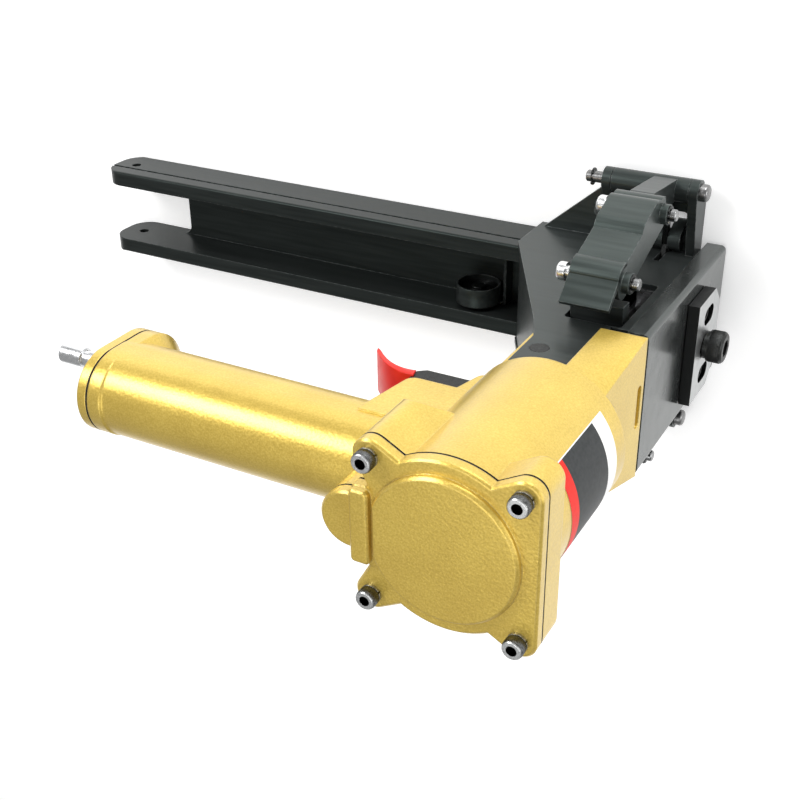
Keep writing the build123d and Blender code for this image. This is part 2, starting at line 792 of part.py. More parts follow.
def guard():
    """Thin end of the link past the shoulder pin, level with the link's outer round."""
    angle = math.radians(guard_turn)

    def at(along, out):
        return (shoulder_y + along * math.cos(angle) + out * math.sin(angle),
                shoulder_pin_z + along * math.sin(angle) - out * math.cos(angle))

    inner_r = link_r - link_web
    return polygon(at(0, link_r), at(guard_len, link_r), at(guard_len, inner_r), at(0, inner_r))


def link_throat():
    """The room inside the link for the crosshead's arm, for the lever, and between them."""
    arm_room = arm_half + run_gap
    throat = Pos(*shoulder) * Circle(arm_eye_r + run_gap)
    far = (0, cross_bottom_z + 2 * arm_half)
    eye_room = lever_eye_r + run_gap
    bulge = knee_in_lever(0.5)
    for share in (*stroke_shares, 1):
        arm_far = turned(far, shoulder, -share * link_turn)
        throat += hull(Pos(*shoulder) * Circle(arm_room), Pos(*arm_far) * Circle(arm_room))
        lever = [Pos(*lever_in_link(point, share)) * Circle(eye_room) for point in (knee, bulge, wing)]
        throat += hull(*lever)
    return throat


def clinch_link():
    """Channel shaped link: two cheeks, and an outer web that goes on past the shoulder pin as a guard."""
    dy = knee_y - shoulder_y
    dz = knee_z - shoulder_pin_z
    length = math.hypot(dy, dz)
    slope = math.degrees(math.atan2(dz, dy))

    def at(along, out):
        y = shoulder_y + (along * dy - out * dz) / length
        return Pos(y, shoulder_pin_z + (along * dz + out * dy) / length)

    outline = hull(at(0, 0) * Circle(link_r), at(length, 0) * Circle(link_r))
    step_start = at(link_step_share * length, link_step)
    step_end = at(length - link_step_back, link_step)
    outline += hull(step_start * Circle(link_r), step_end * Circle(link_r))
    past_end = length + link_overhang + length / 2
    outline -= at(past_end, 0) * Rot(0, 0, slope) * Rectangle(length, length)
    body = along_x(outline + guard(), link_x0, link_x1)
    for pivot in (shoulder, knee):
        body += bar_x(*pivot, link_boss_r, link_x1, link_boss_x)
    inner_half = link_r - link_web / 2
    middle = at(length / 2, -link_web / 2) * Rot(0, 0, slope) * Rectangle(length, 2 * inner_half)
    body -= along_x(link_throat() + middle, tongue_x0 - run_gap, tongue_x1 + run_gap)
    body -= bar_x(*shoulder, pin_r + shaft_gap, link_x0, link_boss_x)
    return body - bar_x(*knee, pin_r + shaft_gap, link_x0, link_boss_x)


def knee_pin():
    return cross_pin(*knee, pin_rear_x, pin_front_x)


def clinch_lever():
    """Lever on the wing, with a wide eye that the knee pin moves in above and the claw's toe inside."""
    dy = knee_y - wing_y
    dz = knee_z - wing_z
    length = math.hypot(dy, dz)
    pivot = Pos(*wing)
    wide_end = Pos(wing_y + dy * lever_wide_len / length, wing_z + dz * lever_wide_len / length)
    body = bar_x(*wing, hub_r, lever_hub_x0, lever_hub_x1)
    body += along_x(hull(pivot * Circle(hub_r), wide_end * Circle(lever_wide_r)), link_x0, link_x1)
    eye = hull(pivot * Circle(lever_eye_r), Pos(*knee) * Circle(lever_eye_r),
               Pos(*knee_in_lever(0.5)) * Circle(lever_eye_r))
    body += along_x(eye, tongue_x0, tongue_x1)
    heel = (wing_y + toe_heel[0], wing_z + toe_heel[1])
    back = (wing_y + toe_back[0], wing_z + toe_back[1])
    toe = polygon(wing, heel, (toe_y + toe_nose, wing_z - toe_drop), (toe_y, wing_z - toe_nose),
                  (toe_y, wing_z), back)
    body += along_x(toe, -blade_t / 2, blade_t / 2)
    pin_room = hull(*[Pos(*knee_in_lever(share)) * Circle(pin_r + run_gap) for share in stroke_shares])
    body -= along_x(pin_room, tongue_x0, tongue_x1)
    return body - bar_x(*wing, pin_r + shaft_gap, lever_hub_x0, lever_hub_x1)


def claw():
    """Curved claw plate on its pivot, with the tail that the lever's toe lifts."""
    ring = Circle(claw_outer_r) - Circle(claw_inner_r)
    start = math.radians(claw_start)
    stop = math.radians(claw_stop)
    far = 2 * claw_outer_r
    wedge = polygon((0, 0), (far * math.cos(start), far * math.sin(start)), (-far, 0),
                    (far * math.cos(stop), far * math.sin(stop)))
    finger = ring & wedge
    finger_top = (claw_outer_r * math.cos(start) + claw_inset, claw_outer_r * math.sin(start) - claw_inset)
    neck = polygon(claw_web_top, finger_top, (2 * claw_inset - claw_inner_r, claw_web_z), claw_web_low)
    rest_z = wing_z - claw_z + 2 * run_gap
    tail_y = toe_y - claw_y
    tail_end_y = tail_y + claw_tail_half
    tail = polygon(claw_tail_low, (tail_y - claw_tail_half, rest_z), (tail_end_y, rest_z + claw_tail_rise),
                   (tail_end_y, rest_z + claw_tail_h), claw_tail_top)
    face = finger + neck + tail + Circle(claw_hub_r) - Circle(claw_pin_r + shaft_gap)
    return along_x(Pos(claw_y, claw_z) * face, -blade_t / 2, blade_t / 2)


def claw_pins():
    pin = bar_x(claw_y, claw_z, claw_pin_r, -claw_lug_half_x, claw_lug_half_x)
    return [pin, mirror(pin, about=Plane.XZ)]


def wing_pins():
    pin = cross_pin(*wing, wing_front_x, wing_pin_rear_x)
    return [pin, mirror(pin, about=Plane.XZ)]


# Nose frame

def plate_screw_places():
    return [(plate_screw_x, plate_screw_z)]


def wing_sketch():
    """The wing seen from above: a slanted strut at the rear, and a window under the linkage."""
    end_y = wing_y - hub_r - wing_end_gap
    step_y = end_y + wing_end_step
    outer = polygon((plate_rear_x, plate_inner_y), (wing_rear_x - wing_strut_run, end_y), (wing_rear_x, step_y),
                    (lever_hub_x0, step_y), (lever_hub_x0, end_y), (wing_front_x, end_y),
                    (wing_front_x, plate_inner_y))
    centre = Pos((window_x0 + window_x1) / 2, (window_y0 + window_y1) / 2)
    return outer - centre * RectangleRounded(window_x1 - window_x0, window_y1 - window_y0, window_corner_r)


def side_frame():
    """Left side plate with its wing, the wing lugs and the claw lugs."""
    front = front_x - front_t - seat_gap
    step_x = neck_x1 - run_gap
    face = polygon((plate_rear_x, 0), (plate_rear_x, mag_h), plate_waist, (plate_tab_x, plate_tab_z),
                   (plate_tab_x, plate_top_z), (step_x, plate_top_z), (step_x, plate_front_z),
                   (front, plate_front_z), (front, 0))
    plate = along_y(face, plate_inner_y, plate_outer_y)
    slot_top = cross_bottom_z + arm_slot_rise
    slot_low = cross_bottom_z - stroke - arm_slot_drop
    slot_w = cross_x1 - cross_x0 + 2 * arm_slot_gap
    slot = Pos((cross_x0 + cross_x1) / 2, (slot_top + slot_low) / 2)
    slot = slot * RectangleRounded(slot_w, slot_top - slot_low, arm_slot_corner)
    plate -= along_y(slot, plate_inner_y, plate_outer_y)
    body = plate + along_z(wing_sketch(), 0, wing_t)
    pivot = Pos(wing_y, wing_z) * Circle(hub_r)
    rear_lug_y = wing_y - 2 * hub_r - rear_lug_foot / 4
    rear_lug = hull(pivot, Pos(rear_lug_y, wing_t / 2) * Rectangle(rear_lug_foot, wing_t))
    front_lug_y = plate_outer_y + front_lug_foot / 2
    front_lug = hull(pivot, Pos(front_lug_y, wing_z / 2) * Rectangle(front_lug_foot, wing_z))
    body += along_x(rear_lug, wing_rear_x, lever_hub_x0 - run_gap)
    body += along_x(front_lug, lever_hub_x1 + run_gap, wing_front_x)
    lug_foot = Pos(claw_y, claw_lug_foot / 2) * Rectangle(2 * (claw_hub_r + claw_lug_spread), claw_lug_foot)
    claw_lug = hull(Pos(claw_y, claw_z) * Circle(claw_hub_r + claw_lug_wall), lug_foot)
    claw_lug -= Rectangle(2 * plate_inner_y, 2 * claw_room_z)
    body += along_x(claw_lug, -claw_lug_half_x, claw_lug_half_x)
    body -= block(-channel_half_x, channel_half_x, 0, claw_room_y, 0, claw_room_z)
    body -= bar_x(claw_y, claw_z, claw_pin_r + shaft_gap, -claw_lug_half_x, claw_lug_half_x)
    body -= bar_x(wing_y, wing_z, pin_r + shaft_gap, wing_rear_x, wing_front_x)
    for x, z in plate_screw_places():
        body -= Pos(x, plate_outer_y, z) * Rot(-90, 0, 0) * flat_screw(seat_gap)
    return body


def flat_screw(grow):
    """Countersunk screw along +Z with the top of its head at the origin, or the hole for it."""
    cone = Pos(0, 0, -flat_head_h / 2) * Cone(m5_r + grow, flat_head_r + grow, flat_head_h)
    return cone + bar_z(0, 0, m5_r + grow, -frame_screw_len, -flat_head_h / 2)


def frame_screws():
    screw = flat_screw(0)
    left = [Pos(x, plate_outer_y, z) * Rot(-90, 0, 0) * screw for x, z in plate_screw_places()]
    return left + [mirror(piece, about=Plane.XZ) for piece in left]


def back_plate():
    low = (plate_rear_x + back_plate_gap, mag_h + back_plate_gap)
    top = (plate_waist[0] + back_plate_top[0], plate_waist[1] + back_plate_top[1])
    face = polygon(low, plate_waist, top, (low[0] + back_plate_t, low[1]))
    half = plate_inner_y - seat_gap
    return along_y(face, -half, half)


def nose_guide():
    half = plate_inner_y - seat_gap
    rear_x = front_x - front_t - seat_gap
    guide = block(channel_half_x, rear_x, -half, half, 0, guide_top_z)
    guide -= block(channel_half_x + guide_wall, rear_x, guide_wall - half, half - guide_wall,
                   guide_wall, depth_z0 + guide_wall)
    guide -= bar_x(0, clamp_z, clamp_r + run_gap, clamp_end_x - 1, rear_x)
    for y in (-depth_screw_y, depth_screw_y):
        guide -= bar_x(y, depth_screw_z, m5_r + shaft_gap, depth_screw_end_x - 1, rear_x)
    return guide


def front_plate():
    outline = Pos(0, (front_top_z + front_low_z) / 2) * Rectangle(2 * front_half_y, front_top_z - front_low_z)
    outline = fillet(outline.vertices().group_by(Axis.Y)[0], front_corner_r)
    shell = along_x(outline, front_x - flange_depth, front_x)
    shell = fillet(shell.edges().group_by(Axis.X)[-1].filter_by(Axis.Z), front_bend_r)
    inner = front_half_y - front_t
    shell -= block(front_x - flange_depth, front_x - front_t, -inner, inner, 0, front_top_z)
    shell -= bar_x(0, clamp_z, clamp_r + shaft_gap, front_x - front_t, front_x)
    for y in (-depth_screw_y, depth_screw_y):
        shell -= bar_x(y, depth_screw_z, m5_r + shaft_gap, front_x - front_t, front_x)
    return shell


def upright_slot(y, z, r):
    """Slot in (y, z) that lets the depth plate travel past a round of radius r."""
    room = r + run_gap
    return hull(Pos(y, z - depth_travel) * Circle(room), Pos(y, z + depth_travel) * Circle(room))


def depth_plate():
    """Sliding plate that sets how deep the staple goes, guided by two screw heads in its slots."""
    low_y = depth_half_y - depth_cut
    outline = polygon((-depth_half_y, depth_z1), (depth_half_y, depth_z1), (depth_half_y, depth_z0 + depth_cut),
                      (low_y, depth_z0), (-low_y, depth_z0), (-depth_half_y, depth_z0 + depth_cut))
    outline -= upright_slot(0, clamp_z, clamp_r)
    for y in (-depth_screw_y, depth_screw_y):
        outline -= upright_slot(y, depth_screw_z, m5_head_r)
    return along_x(outline, front_x + run_gap, depth_x1)


def depth_plate_screws():
    screw = socket_screw(m5_r, front_x - depth_screw_end_x, m5_head_r, depth_head_h, m5_key)
    return [Pos(front_x, y, depth_screw_z) * Rot(0, 90, 0) * screw for y in (-depth_screw_y, depth_screw_y)]


def clamp_screw():
    """Large socket screw with a collar that clamps the depth plate."""
    face_x = depth_x1 + run_gap
    head_x = face_x + clamp_collar_t
    screw = socket_screw(clamp_r, head_x - clamp_end_x, clamp_head_r, clamp_head_h, clamp_key)
    collar = bar_x(0, clamp_z, clamp_collar_r, face_x, head_x)
    return collar + Pos(head_x, 0, clamp_z) * Rot(0, 90, 0) * screw


# Magazine

def magazine_channel():
    side = Pos((mag_rear_x - channel_half_x) / 2, mag_h / 2) * Rectangle(-channel_half_x - mag_rear_x, mag_h)
    side = fillet(side.vertices().group_by(Axis.X)[0], fork_tip_r)
    section = Pos(0, mag_h / 2) * Rectangle(2 * mag_half_y, mag_h)
    section = fillet(section.vertices(), mag_corner_r)
    section -= Pos(0, mag_web + mag_h / 2) * Rectangle(2 * mag_inner_half_y, mag_h)
    groove = Pos(mag_half_y, mag_h - mag_groove_drop) * Rectangle(2 * mag_groove_depth, mag_groove_w)
    section -= groove + mirror(groove, about=Plane.YZ)
    body = along_x(section, mag_rear_x, -channel_half_x) & along_y(side, -mag_half_y, mag_half_y)
    notch_len = fork_x - mag_rear_x + 2 * fork_corner_r
    notch = Pos(fork_x - notch_len / 2, 0) * Rectangle(notch_len, 2 * mag_inner_half_y)
    notch = fillet(notch.vertices(), fork_corner_r)
    body -= along_z(notch, 0, mag_h)
    body -= bar_y(fork_pin_x, mag_h / 2, fork_pin_r, -mag_half_y, mag_half_y)
    return body


def pusher_round():
    """Centre height and radius of the pusher's round rear end."""
    low = mag_web + run_gap
    return (low + pusher_top_z) / 2, (pusher_top_z - low) / 2


def pusher():
    """Pusher with a half round rear end, open below for the spring roll."""
    mid_z, r = pusher_round()
    side = Pos(pusher_round_x, mid_z) * Circle(r)
    straight = Rectangle(pusher_front_x - pusher_round_x, 2 * r)
    side += Pos((pusher_round_x + pusher_front_x) / 2, mid_z) * straight
    body = along_y(side, -pusher_half_y, pusher_half_y)
    pocket_r = r - pusher_wall
    pocket = Pos(pusher_round_x, mid_z) * Circle(pocket_r)
    pocket += Pos(pusher_round_x, mid_z - r / 2) * Rectangle(2 * pocket_r, r)
    half = roll_half_y + roll_gap
    body -= along_y(pocket, -half, half)
    return body - bar_y(pusher_round_x, mid_z, axle_r + shaft_gap, -pusher_half_y, pusher_half_y)


def pusher_axle():
    mid_z, r = pusher_round()
    return bar_y(pusher_round_x, mid_z, axle_r, -pusher_half_y, pusher_half_y)


def pusher_spring_roll():
    """The flat spring wound up on the axle, drawn as the full roll that the pusher encloses."""
    mid_z, r = pusher_round()
    roll = Circle(r - pusher_wall - roll_gap) - Circle(axle_r + shaft_gap)
    return along_y(Pos(pusher_round_x, mid_z) * roll, -roll_half_y, roll_half_y)


left_parts = {
    "clinch_link": clinch_link,
    "knee_pin": knee_pin,
    "clinch_lever": clinch_lever,
    "claw": claw,
    "side_frame": side_frame,
}
single_parts = [
    main_housing, cylinder_cap, cap_gasket, cap_screws, cap_lock_washers, handle_end_cap, end_cap_gasket,
    end_cap_screws, air_plug, trigger_lever, trigger_grip, trigger_rivet, trigger_pin, trigger_valve_body,
    trigger_valve_stem, trigger_valve_spring, cylinder_liner, bumper, piston, piston_ring, piston_rod,
    piston_nut, crosshead, crosshead_pins, driver_blade, claw_pins, wing_pins, frame_screws, back_plate,
    nose_guide, front_plate, depth_plate, depth_plate_screws, clamp_screw, magazine_channel, pusher,
    pusher_axle, pusher_spring_roll,
]

os.makedirs("parts", exist_ok=True)
for make in single_parts:
    shape = make()
    if isinstance(shape, list):
        shape = Compound(children=shape)
    export_step(shape, f"parts/{make.__name__}.step")
for name, make in left_parts.items():
    left = make()
    export_step(left, f"parts/{name}_left.step")
    export_step(mirror(left, about=Plane.XZ), f"parts/{name}_right.step")
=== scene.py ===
"""Looks of the pneumatic carton stapler: the finish of each CAD node, the label and the small details."""
import json
import math

import bmesh
import bpy
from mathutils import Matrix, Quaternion, Vector


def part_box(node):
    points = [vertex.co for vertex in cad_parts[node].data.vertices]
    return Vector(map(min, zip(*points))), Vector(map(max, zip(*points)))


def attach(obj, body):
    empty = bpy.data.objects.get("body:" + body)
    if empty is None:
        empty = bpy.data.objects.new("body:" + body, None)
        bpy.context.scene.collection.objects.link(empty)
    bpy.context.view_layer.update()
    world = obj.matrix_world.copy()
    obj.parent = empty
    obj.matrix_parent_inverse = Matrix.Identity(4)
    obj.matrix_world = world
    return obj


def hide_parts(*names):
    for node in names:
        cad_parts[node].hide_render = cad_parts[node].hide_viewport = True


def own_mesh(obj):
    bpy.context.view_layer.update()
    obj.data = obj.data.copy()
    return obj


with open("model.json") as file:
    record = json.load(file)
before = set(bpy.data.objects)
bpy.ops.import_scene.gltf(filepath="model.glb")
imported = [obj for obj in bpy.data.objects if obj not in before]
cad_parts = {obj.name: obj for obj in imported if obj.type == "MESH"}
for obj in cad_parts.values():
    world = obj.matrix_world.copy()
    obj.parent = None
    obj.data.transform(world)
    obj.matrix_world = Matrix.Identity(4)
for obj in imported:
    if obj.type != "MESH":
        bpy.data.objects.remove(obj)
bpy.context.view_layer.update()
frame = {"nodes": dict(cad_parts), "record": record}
nodes = frame["nodes"]

# Lengths are in metres. +X is the tool's front, +Y its left and +Z up.
mm = 0.001
smooth_angle = math.radians(35)     # flatter edges of the new pieces are shaded smooth

# Label on the cylinder
housing_wall = 5.0 * mm             # around the cylinder liner
label_lift = 0.04 * mm              # film over the paint
film_t = 0.08 * mm
film_steps = 48
label_low = 178.8 * mm
label_high = 228.5 * mm
label_half_turn = math.radians(41)
label_rim = 0.55 * mm               # white rim beside the field and the band
label_foot = 10.2 * mm              # white band at the label's lower end
label_band = 7.5 * mm               # red band at its upper end

# Linkage pins and their retaining clips
linkage_nodes = (                   # node, body, head towards the rear, finish
    ("crosshead_pins", "driver", True, "polished_pins"),
    ("wing_pins", "frame", False, "bright_steel"),
    ("knee_pin_left", "link_left", True, "polished_pins"),
    ("knee_pin_right", "link_right", True, "polished_pins"),
)
pin_r = 3.0 * mm
pin_steps = 40
pin_head_r = 4.5 * mm
pin_head_len = 4.5 * mm             # reaches a little past the node's own head
pin_head_seat = 3.5 * mm            # from the node's end to the under side of its head
pin_head_round = 1.8 * mm
pin_head_steps = 6
pin_groove_t = 1.2 * mm
pin_chamfer = 0.6 * mm
pin_change_x = (-8 * mm, 8 * mm)    # where a pin's painted highlight at its head gives way to the plain steel
groove_r = 2.2 * mm
clip_from_end = 3.6 * mm            # middle of a pin's clip groove, from the pin's end
clip_r = 4.7 * mm
clip_t = 0.7 * mm
clip_steps = 60
clip_mouth = math.radians(70)
clip_noses = 3
clip_nose_h = 0.9 * mm
clip_narrowing = 0.5 * mm           # taken off the radius opposite the mouth

# Screws and their knurls
head_r = 4.25 * mm                  # cap screw
head_face = (0.5 * mm, 0.2 * mm)    # under the screw's top: the bright end face starts and is full
socket_shade_r = 2.35 * mm                   # painted shade in the hexagon socket of a cap screw reaches this far from its axis
socket_shade_blur = 0.12 * mm
knurl_pitch = 0.62 * mm
knurl_depth = 0.22 * mm
knurl_root = 0.02 * mm              # off the screw's head
knurl_seat = 0.1 * mm               # the sleeve's inner side lies this deep in the head
knurl_run_in = 0.3 * mm
cap_knurl = (0.4 * mm, 0.9 * mm)    # over the washer and under the screw's top
clamp_knurl = (-7.3 * mm, -1.3 * mm)    # from the clamp screw's front end

# Trigger grip
grip_tip = (-95.2 * mm, 146.4 * mm)     # finger side of the grip, along X and Z
grip_root = (-69.1 * mm, 158.6 * mm)
grip_bow = 4.6 * mm
grip_steps = 28
grip_tip_t = 2.2 * mm
grip_root_t = 5.2 * mm
grip_taper = 1.5                    # power of the way from tip to root
grip_edge = 0.7 * mm                # rounding of the grip's sides
grip_rounding = ((0, 1), (0.3, 0.3), (1, 0))    # shares of grip_edge: in from the side, off the faces
grip_tip_parts = 12                 # the tip is rounded over one part of the length in this many
grip_cut_limit = 0.45               # of the thickness

# Pusher: spring drum, hub, spring and bracket
drum_r = 12.8 * mm
drum_steps = 64
drum_gap = 0.2 * mm                 # over the magazine's floor, past the pusher's own gap
drum_wall = 1.1 * mm
drum_len = 11.0 * mm
drum_floor = 2.5 * mm               # the spring lies this deep under the drum's rim
drum_back_edge = 0.6 * mm
drum_rim_edge = (0.35 * mm, 0.5 * mm)   # across and along
hub_r = 2.6 * mm
hub_steps = 40
hub_bore_r = 0.5 * mm
hub_head_r = 1.6 * hub_r
hub_head_t = 0.8 * mm
hub_top_r = 1.4 * hub_r
hub_top_t = 1.2 * mm
spring_t = 0.4 * mm
spring_turns = 8
spring_steps = 40                   # in a turn
bracket_t = 1.6 * mm
bracket_h = 9.0 * mm
bracket_rear = 4.0 * mm             # its side wall starts this far in front of the pusher's rear end
bracket_edge = 0.3 * mm
bracket_edge_steps = 2

# Valve spring
valve_wire_r = 0.4 * mm
valve_wire_steps = 8
valve_inset = 1.5 * valve_wire_r    # of the wire's middle, from the node's ends
valve_turns = 5
valve_steps = 28                    # in a turn

# Ridge on a link around its shoulder pin
barrel_r = 9.7 * mm
barrel_seat_r = 7.9 * mm            # inside the link's web
barrel_sink = 0.3 * mm              # its under side is this much nearer to the pin
barrel_len = 24.0 * mm              # the width of the link's web
barrel_steps = 24
barrel_arc = (-12, 73)              # degrees from straight out to straight up
barrel_run_in = 8                   # it rises over one part of the arc in this many, at each end

# Rim on the front plate
front_t = 3.0 * mm                  # the front plate's sheet
front_bend_r = 2.5 * mm
rim_inset = 0.5 * mm                # the rim stands back from the plate's faces
rim_gap = 0.2 * mm                  # under the housing's neck
rim_inner_r = 0.4 * mm
rim_steps = 6

# Stage and light
floor_half = 6.0
floor_glow = 0.3
world_strength = 0.38
lights = (                          # name, place, target, size, power in watts
    ("key", (0.15, 1.2, 0.25), (-0.05, 0, 0.15), 0.5, 8),
    ("rear", (-0.8, 0.8, 0.9), (-0.1, 0, 0.2), 0.5, 10),
    ("front", (1.2, 0.2, 0.5), (0, 0, 0.15), 0.9, 7),
    ("top", (0, -0.2, 1.5), (-0.05, 0, 0.2), 0.9, 8),
)

# The photograph's camera, in the frame of the part
camera_place = (0.17162, 0.27316, 0.60383)
camera_target = (-0.06033, 0.01236, 0.19)
camera_roll = math.radians(-131.43)
camera_lens = 55.15

# Values that several finishes share
cool_tint = (0.79, 1, 0.93, 1)      # of the gloss on black paint
bare_edge = (0.3, 0.31, 0.31)       # steel where black paint is worn off
edge_cosines = (0.8, 0.98)          # of rounded and plain normals, on an edge and on a plain face
bevel_samples = 6
noise_low, noise_high = 0.3, 0.7    # the usual range of a noise
edge_patch_detail = 5
edge_patch_start = 0.4                    # of the noise's range, where lighter edges begin: worn paint, and on the gold a painted highlight
line_grain = 0.5 * mm               # machining lines on steel
line_detail = 3
line_depth = 0.015 * mm
line_strength = 0.4
rough_spread = 0.14                 # between the smoothest and the roughest places of a steel


# Node trees

def new_material(name):
    """A new material, its node tree and its shader."""
    material = bpy.data.materials.new(name)
    material.use_nodes = True
    return material, material.node_tree, material.node_tree.nodes["Principled BSDF"]


def coordinate(tree, kind, axis):
    """One axis of the point on the object ("Object") or of its normal ("Normal")."""
    coordinates = tree.nodes.new("ShaderNodeTexCoord")
    split = tree.nodes.new("ShaderNodeSeparateXYZ")
    tree.links.new(coordinates.outputs[kind], split.inputs["Vector"])
    return split.outputs[axis]


def noise(tree, grain, detail, stretch=(1, 1, 1)):
    """Cloudy noise with grains about that many metres across, scaled along the axes by stretch."""
    coordinates = tree.nodes.new("ShaderNodeTexCoord")
    mapping = tree.nodes.new("ShaderNodeMapping")
    mapping.inputs["Scale"].default_value = stretch
    tree.links.new(coordinates.outputs["Object"], mapping.inputs["Vector"])
    texture = tree.nodes.new("ShaderNodeTexNoise")
    texture.inputs["Scale"].default_value = 1 / grain
    texture.inputs["Detail"].default_value = detail
    tree.links.new(mapping.outputs["Vector"], texture.inputs["Vector"])
    return texture.outputs["Fac"]


def ramp(tree, value, stops):
    """A colour ramp with (position, colour) stops."""
    node = tree.nodes.new("ShaderNodeValToRGB")
    elements = node.color_ramp.elements
    while len(elements) < len(stops):
        elements.new(0.5)
    for element, (position, colour) in zip(elements, stops):
        element.position = position
        element.color = (*colour, 1)
    tree.links.new(value, node.inputs["Fac"])
    return node.outputs["Color"]


def two_tone(tree, value, dark, light, end=noise_high):
    """A ramp over the usual range of a noise, from dark to light."""
    return ramp(tree, value, [(noise_low, dark), (end, light)])


def spread(tree, value, low, high, start=noise_low, end=noise_high):
    """value from start to end, brought to low to high."""
    node = tree.nodes.new("ShaderNodeMapRange")
    node.inputs["From Min"].default_value = start
    node.inputs["From Max"].default_value = end
    node.inputs["To Min"].default_value = low
    node.inputs["To Max"].default_value = high
    tree.links.new(value, node.inputs["Value"])
    return node.outputs["Result"]


def mixed(tree, share, first, second):
    """first and second, colours or colour sockets, mixed by share."""
    node = tree.nodes.new("ShaderNodeMix")
    node.data_type = "RGBA"
    tree.links.new(share, node.inputs["Factor"])
    for socket, colour in ((node.inputs["A"], first), (node.inputs["B"], second)):
        if isinstance(colour, tuple):
            socket.default_value = (*colour, 1)
        else:
            tree.links.new(colour, socket)
    return node.outputs["Result"]


def tinted(tree, colour, shade):
    """colour multiplied by shade."""
    node = tree.nodes.new("ShaderNodeMix")
    node.data_type = "RGBA"
    node.blend_type = "MULTIPLY"
    node.inputs["Factor"].default_value = 1
    tree.links.new(colour, node.inputs["A"])
    tree.links.new(shade, node.inputs["B"])
    return node.outputs["Result"]


def product(tree, first, second):
    """first times second."""
    node = tree.nodes.new("ShaderNodeMath")
    node.operation = "MULTIPLY"
    tree.links.new(first, node.inputs[0])
    tree.links.new(second, node.inputs[1])
    return node.outputs[0]


def rounded_normal(tree, radius):
    """The normal with edges rounded off at that radius."""
    bevel = tree.nodes.new("ShaderNodeBevel")
    bevel.samples = bevel_samples
    bevel.inputs["Radius"].default_value = radius
    return bevel.outputs["Normal"]


def edge_share(tree, radius):
    """1 on sharp edges and 0 on plain faces."""
    geometry = tree.nodes.new("ShaderNodeNewGeometry")
    dot = tree.nodes.new("ShaderNodeVectorMath")
    dot.operation = "DOT_PRODUCT"
    tree.links.new(rounded_normal(tree, radius), dot.inputs[0])
    tree.links.new(geometry.outputs["Normal"], dot.inputs[1])
    return spread(tree, dot.outputs["Value"], 1, 0, *edge_cosines)


def edges_worn_and_lit(tree, colour, lighter_tone, radius, grain, low, high, end=0.65):
    """colour, turned to the lighter one on sharp edges, in patches and by a share from low to high: worn
    paint, and on the gold paint a painted highlight too.
    """
    patches = spread(tree, noise(tree, grain, edge_patch_detail), low, high, edge_patch_start, end)
    return mixed(tree, product(tree, edge_share(tree, radius), patches), colour, lighter_tone)


def bump(tree, shader, height, depth, strength, normal=None):
    """A bump of that depth on the shader, over the given normal."""
    node = tree.nodes.new("ShaderNodeBump")
    node.inputs["Distance"].default_value = depth
    node.inputs["Strength"].default_value = strength
    tree.links.new(height, node.inputs["Height"])
    if normal is not None:
        tree.links.new(normal, node.inputs["Normal"])
    tree.links.new(node.outputs["Normal"], shader.inputs["Normal"])


def bare_metal(tree, shader, colour, lines, rough, round_off=0.3 * mm, cloud=(2 * mm, 4)):
    """Metal of that colour with fine lines, rounded edges and a roughness that varies in a cloudy noise."""
    tree.links.new(colour, shader.inputs["Base Color"])
    shader.inputs["Metallic"].default_value = 1
    tree.links.new(spread(tree, noise(tree, *cloud), *rough), shader.inputs["Roughness"])
    bump(tree, shader, lines, line_depth, line_strength, rounded_normal(tree, round_off))


# Finishes

def gold_paint():
    """Metallic paint with a fine hammered grain over a casting, and a painted highlight on its edges."""
    material, tree, shader = new_material("gold_hammered_paint")
    deep, middle, pale = (0.6, 0.425, 0.072), (0.66, 0.472, 0.088), (0.72, 0.53, 0.112)
    dull, clear = (0.9, 0.88, 0.84), (1, 1, 1)
    lighter_tone = (0.8, 0.66, 0.32)
    flakes = noise(tree, grain=0.8 * mm, detail=1)
    colour = ramp(tree, flakes, [(0.3, deep), (0.5, middle), (0.72, pale)])
    colour = tinted(tree, colour, two_tone(tree, noise(tree, grain=24 * mm, detail=2), dull, clear))
    # Painted highlight: sharp edges turn a lighter gold in patches, standing in for the bright lines light
    # draws along the edges; partly worn paint too
    colour = edges_worn_and_lit(tree, colour, lighter_tone, radius=0.9 * mm, grain=4 * mm, low=0.1, high=0.7)
    tree.links.new(colour, shader.inputs["Base Color"])
    shader.inputs["Metallic"].default_value = 0.6
    tree.links.new(spread(tree, flakes, low=0.31, high=0.37), shader.inputs["Roughness"])
    shader.inputs["Coat Weight"].default_value = 0.4
    shader.inputs["Coat Roughness"].default_value = 0.22
    hammered = noise(tree, grain=1.4 * mm, detail=0)
    bump(tree, shader, hammered, depth=0.12 * mm, strength=0.6, normal=rounded_normal(tree, 1.2 * mm))
    return material


def black_paint(name, base, stretch, worn=0.5, gloss=0.37):
    """Satin black paint with faint drawn lines and edges worn to grey."""
    material, tree, shader = new_material(name)
    bright = tuple(1.9 * c for c in base)
    lines = noise(tree, grain=2.4 * mm, detail=1.5, stretch=stretch)
    colour = two_tone(tree, lines, base, bright, end=0.75)
    colour = edges_worn_and_lit(tree, colour, bare_edge, radius=0.8 * mm, grain=3 * mm, low=0, high=worn)
    tree.links.new(colour, shader.inputs["Base Color"])
    rough = spread(tree, lines, low=0.29, high=0.37, start=0.2, end=0.8)
    tree.links.new(rough, shader.inputs["Roughness"])
    shader.inputs["Specular IOR Level"].default_value = gloss
    shader.inputs["Specular Tint"].default_value = cool_tint
    bump(tree, shader, lines, depth=0.03 * mm, strength=0.3, normal=rounded_normal(tree, 0.5 * mm))
    return material


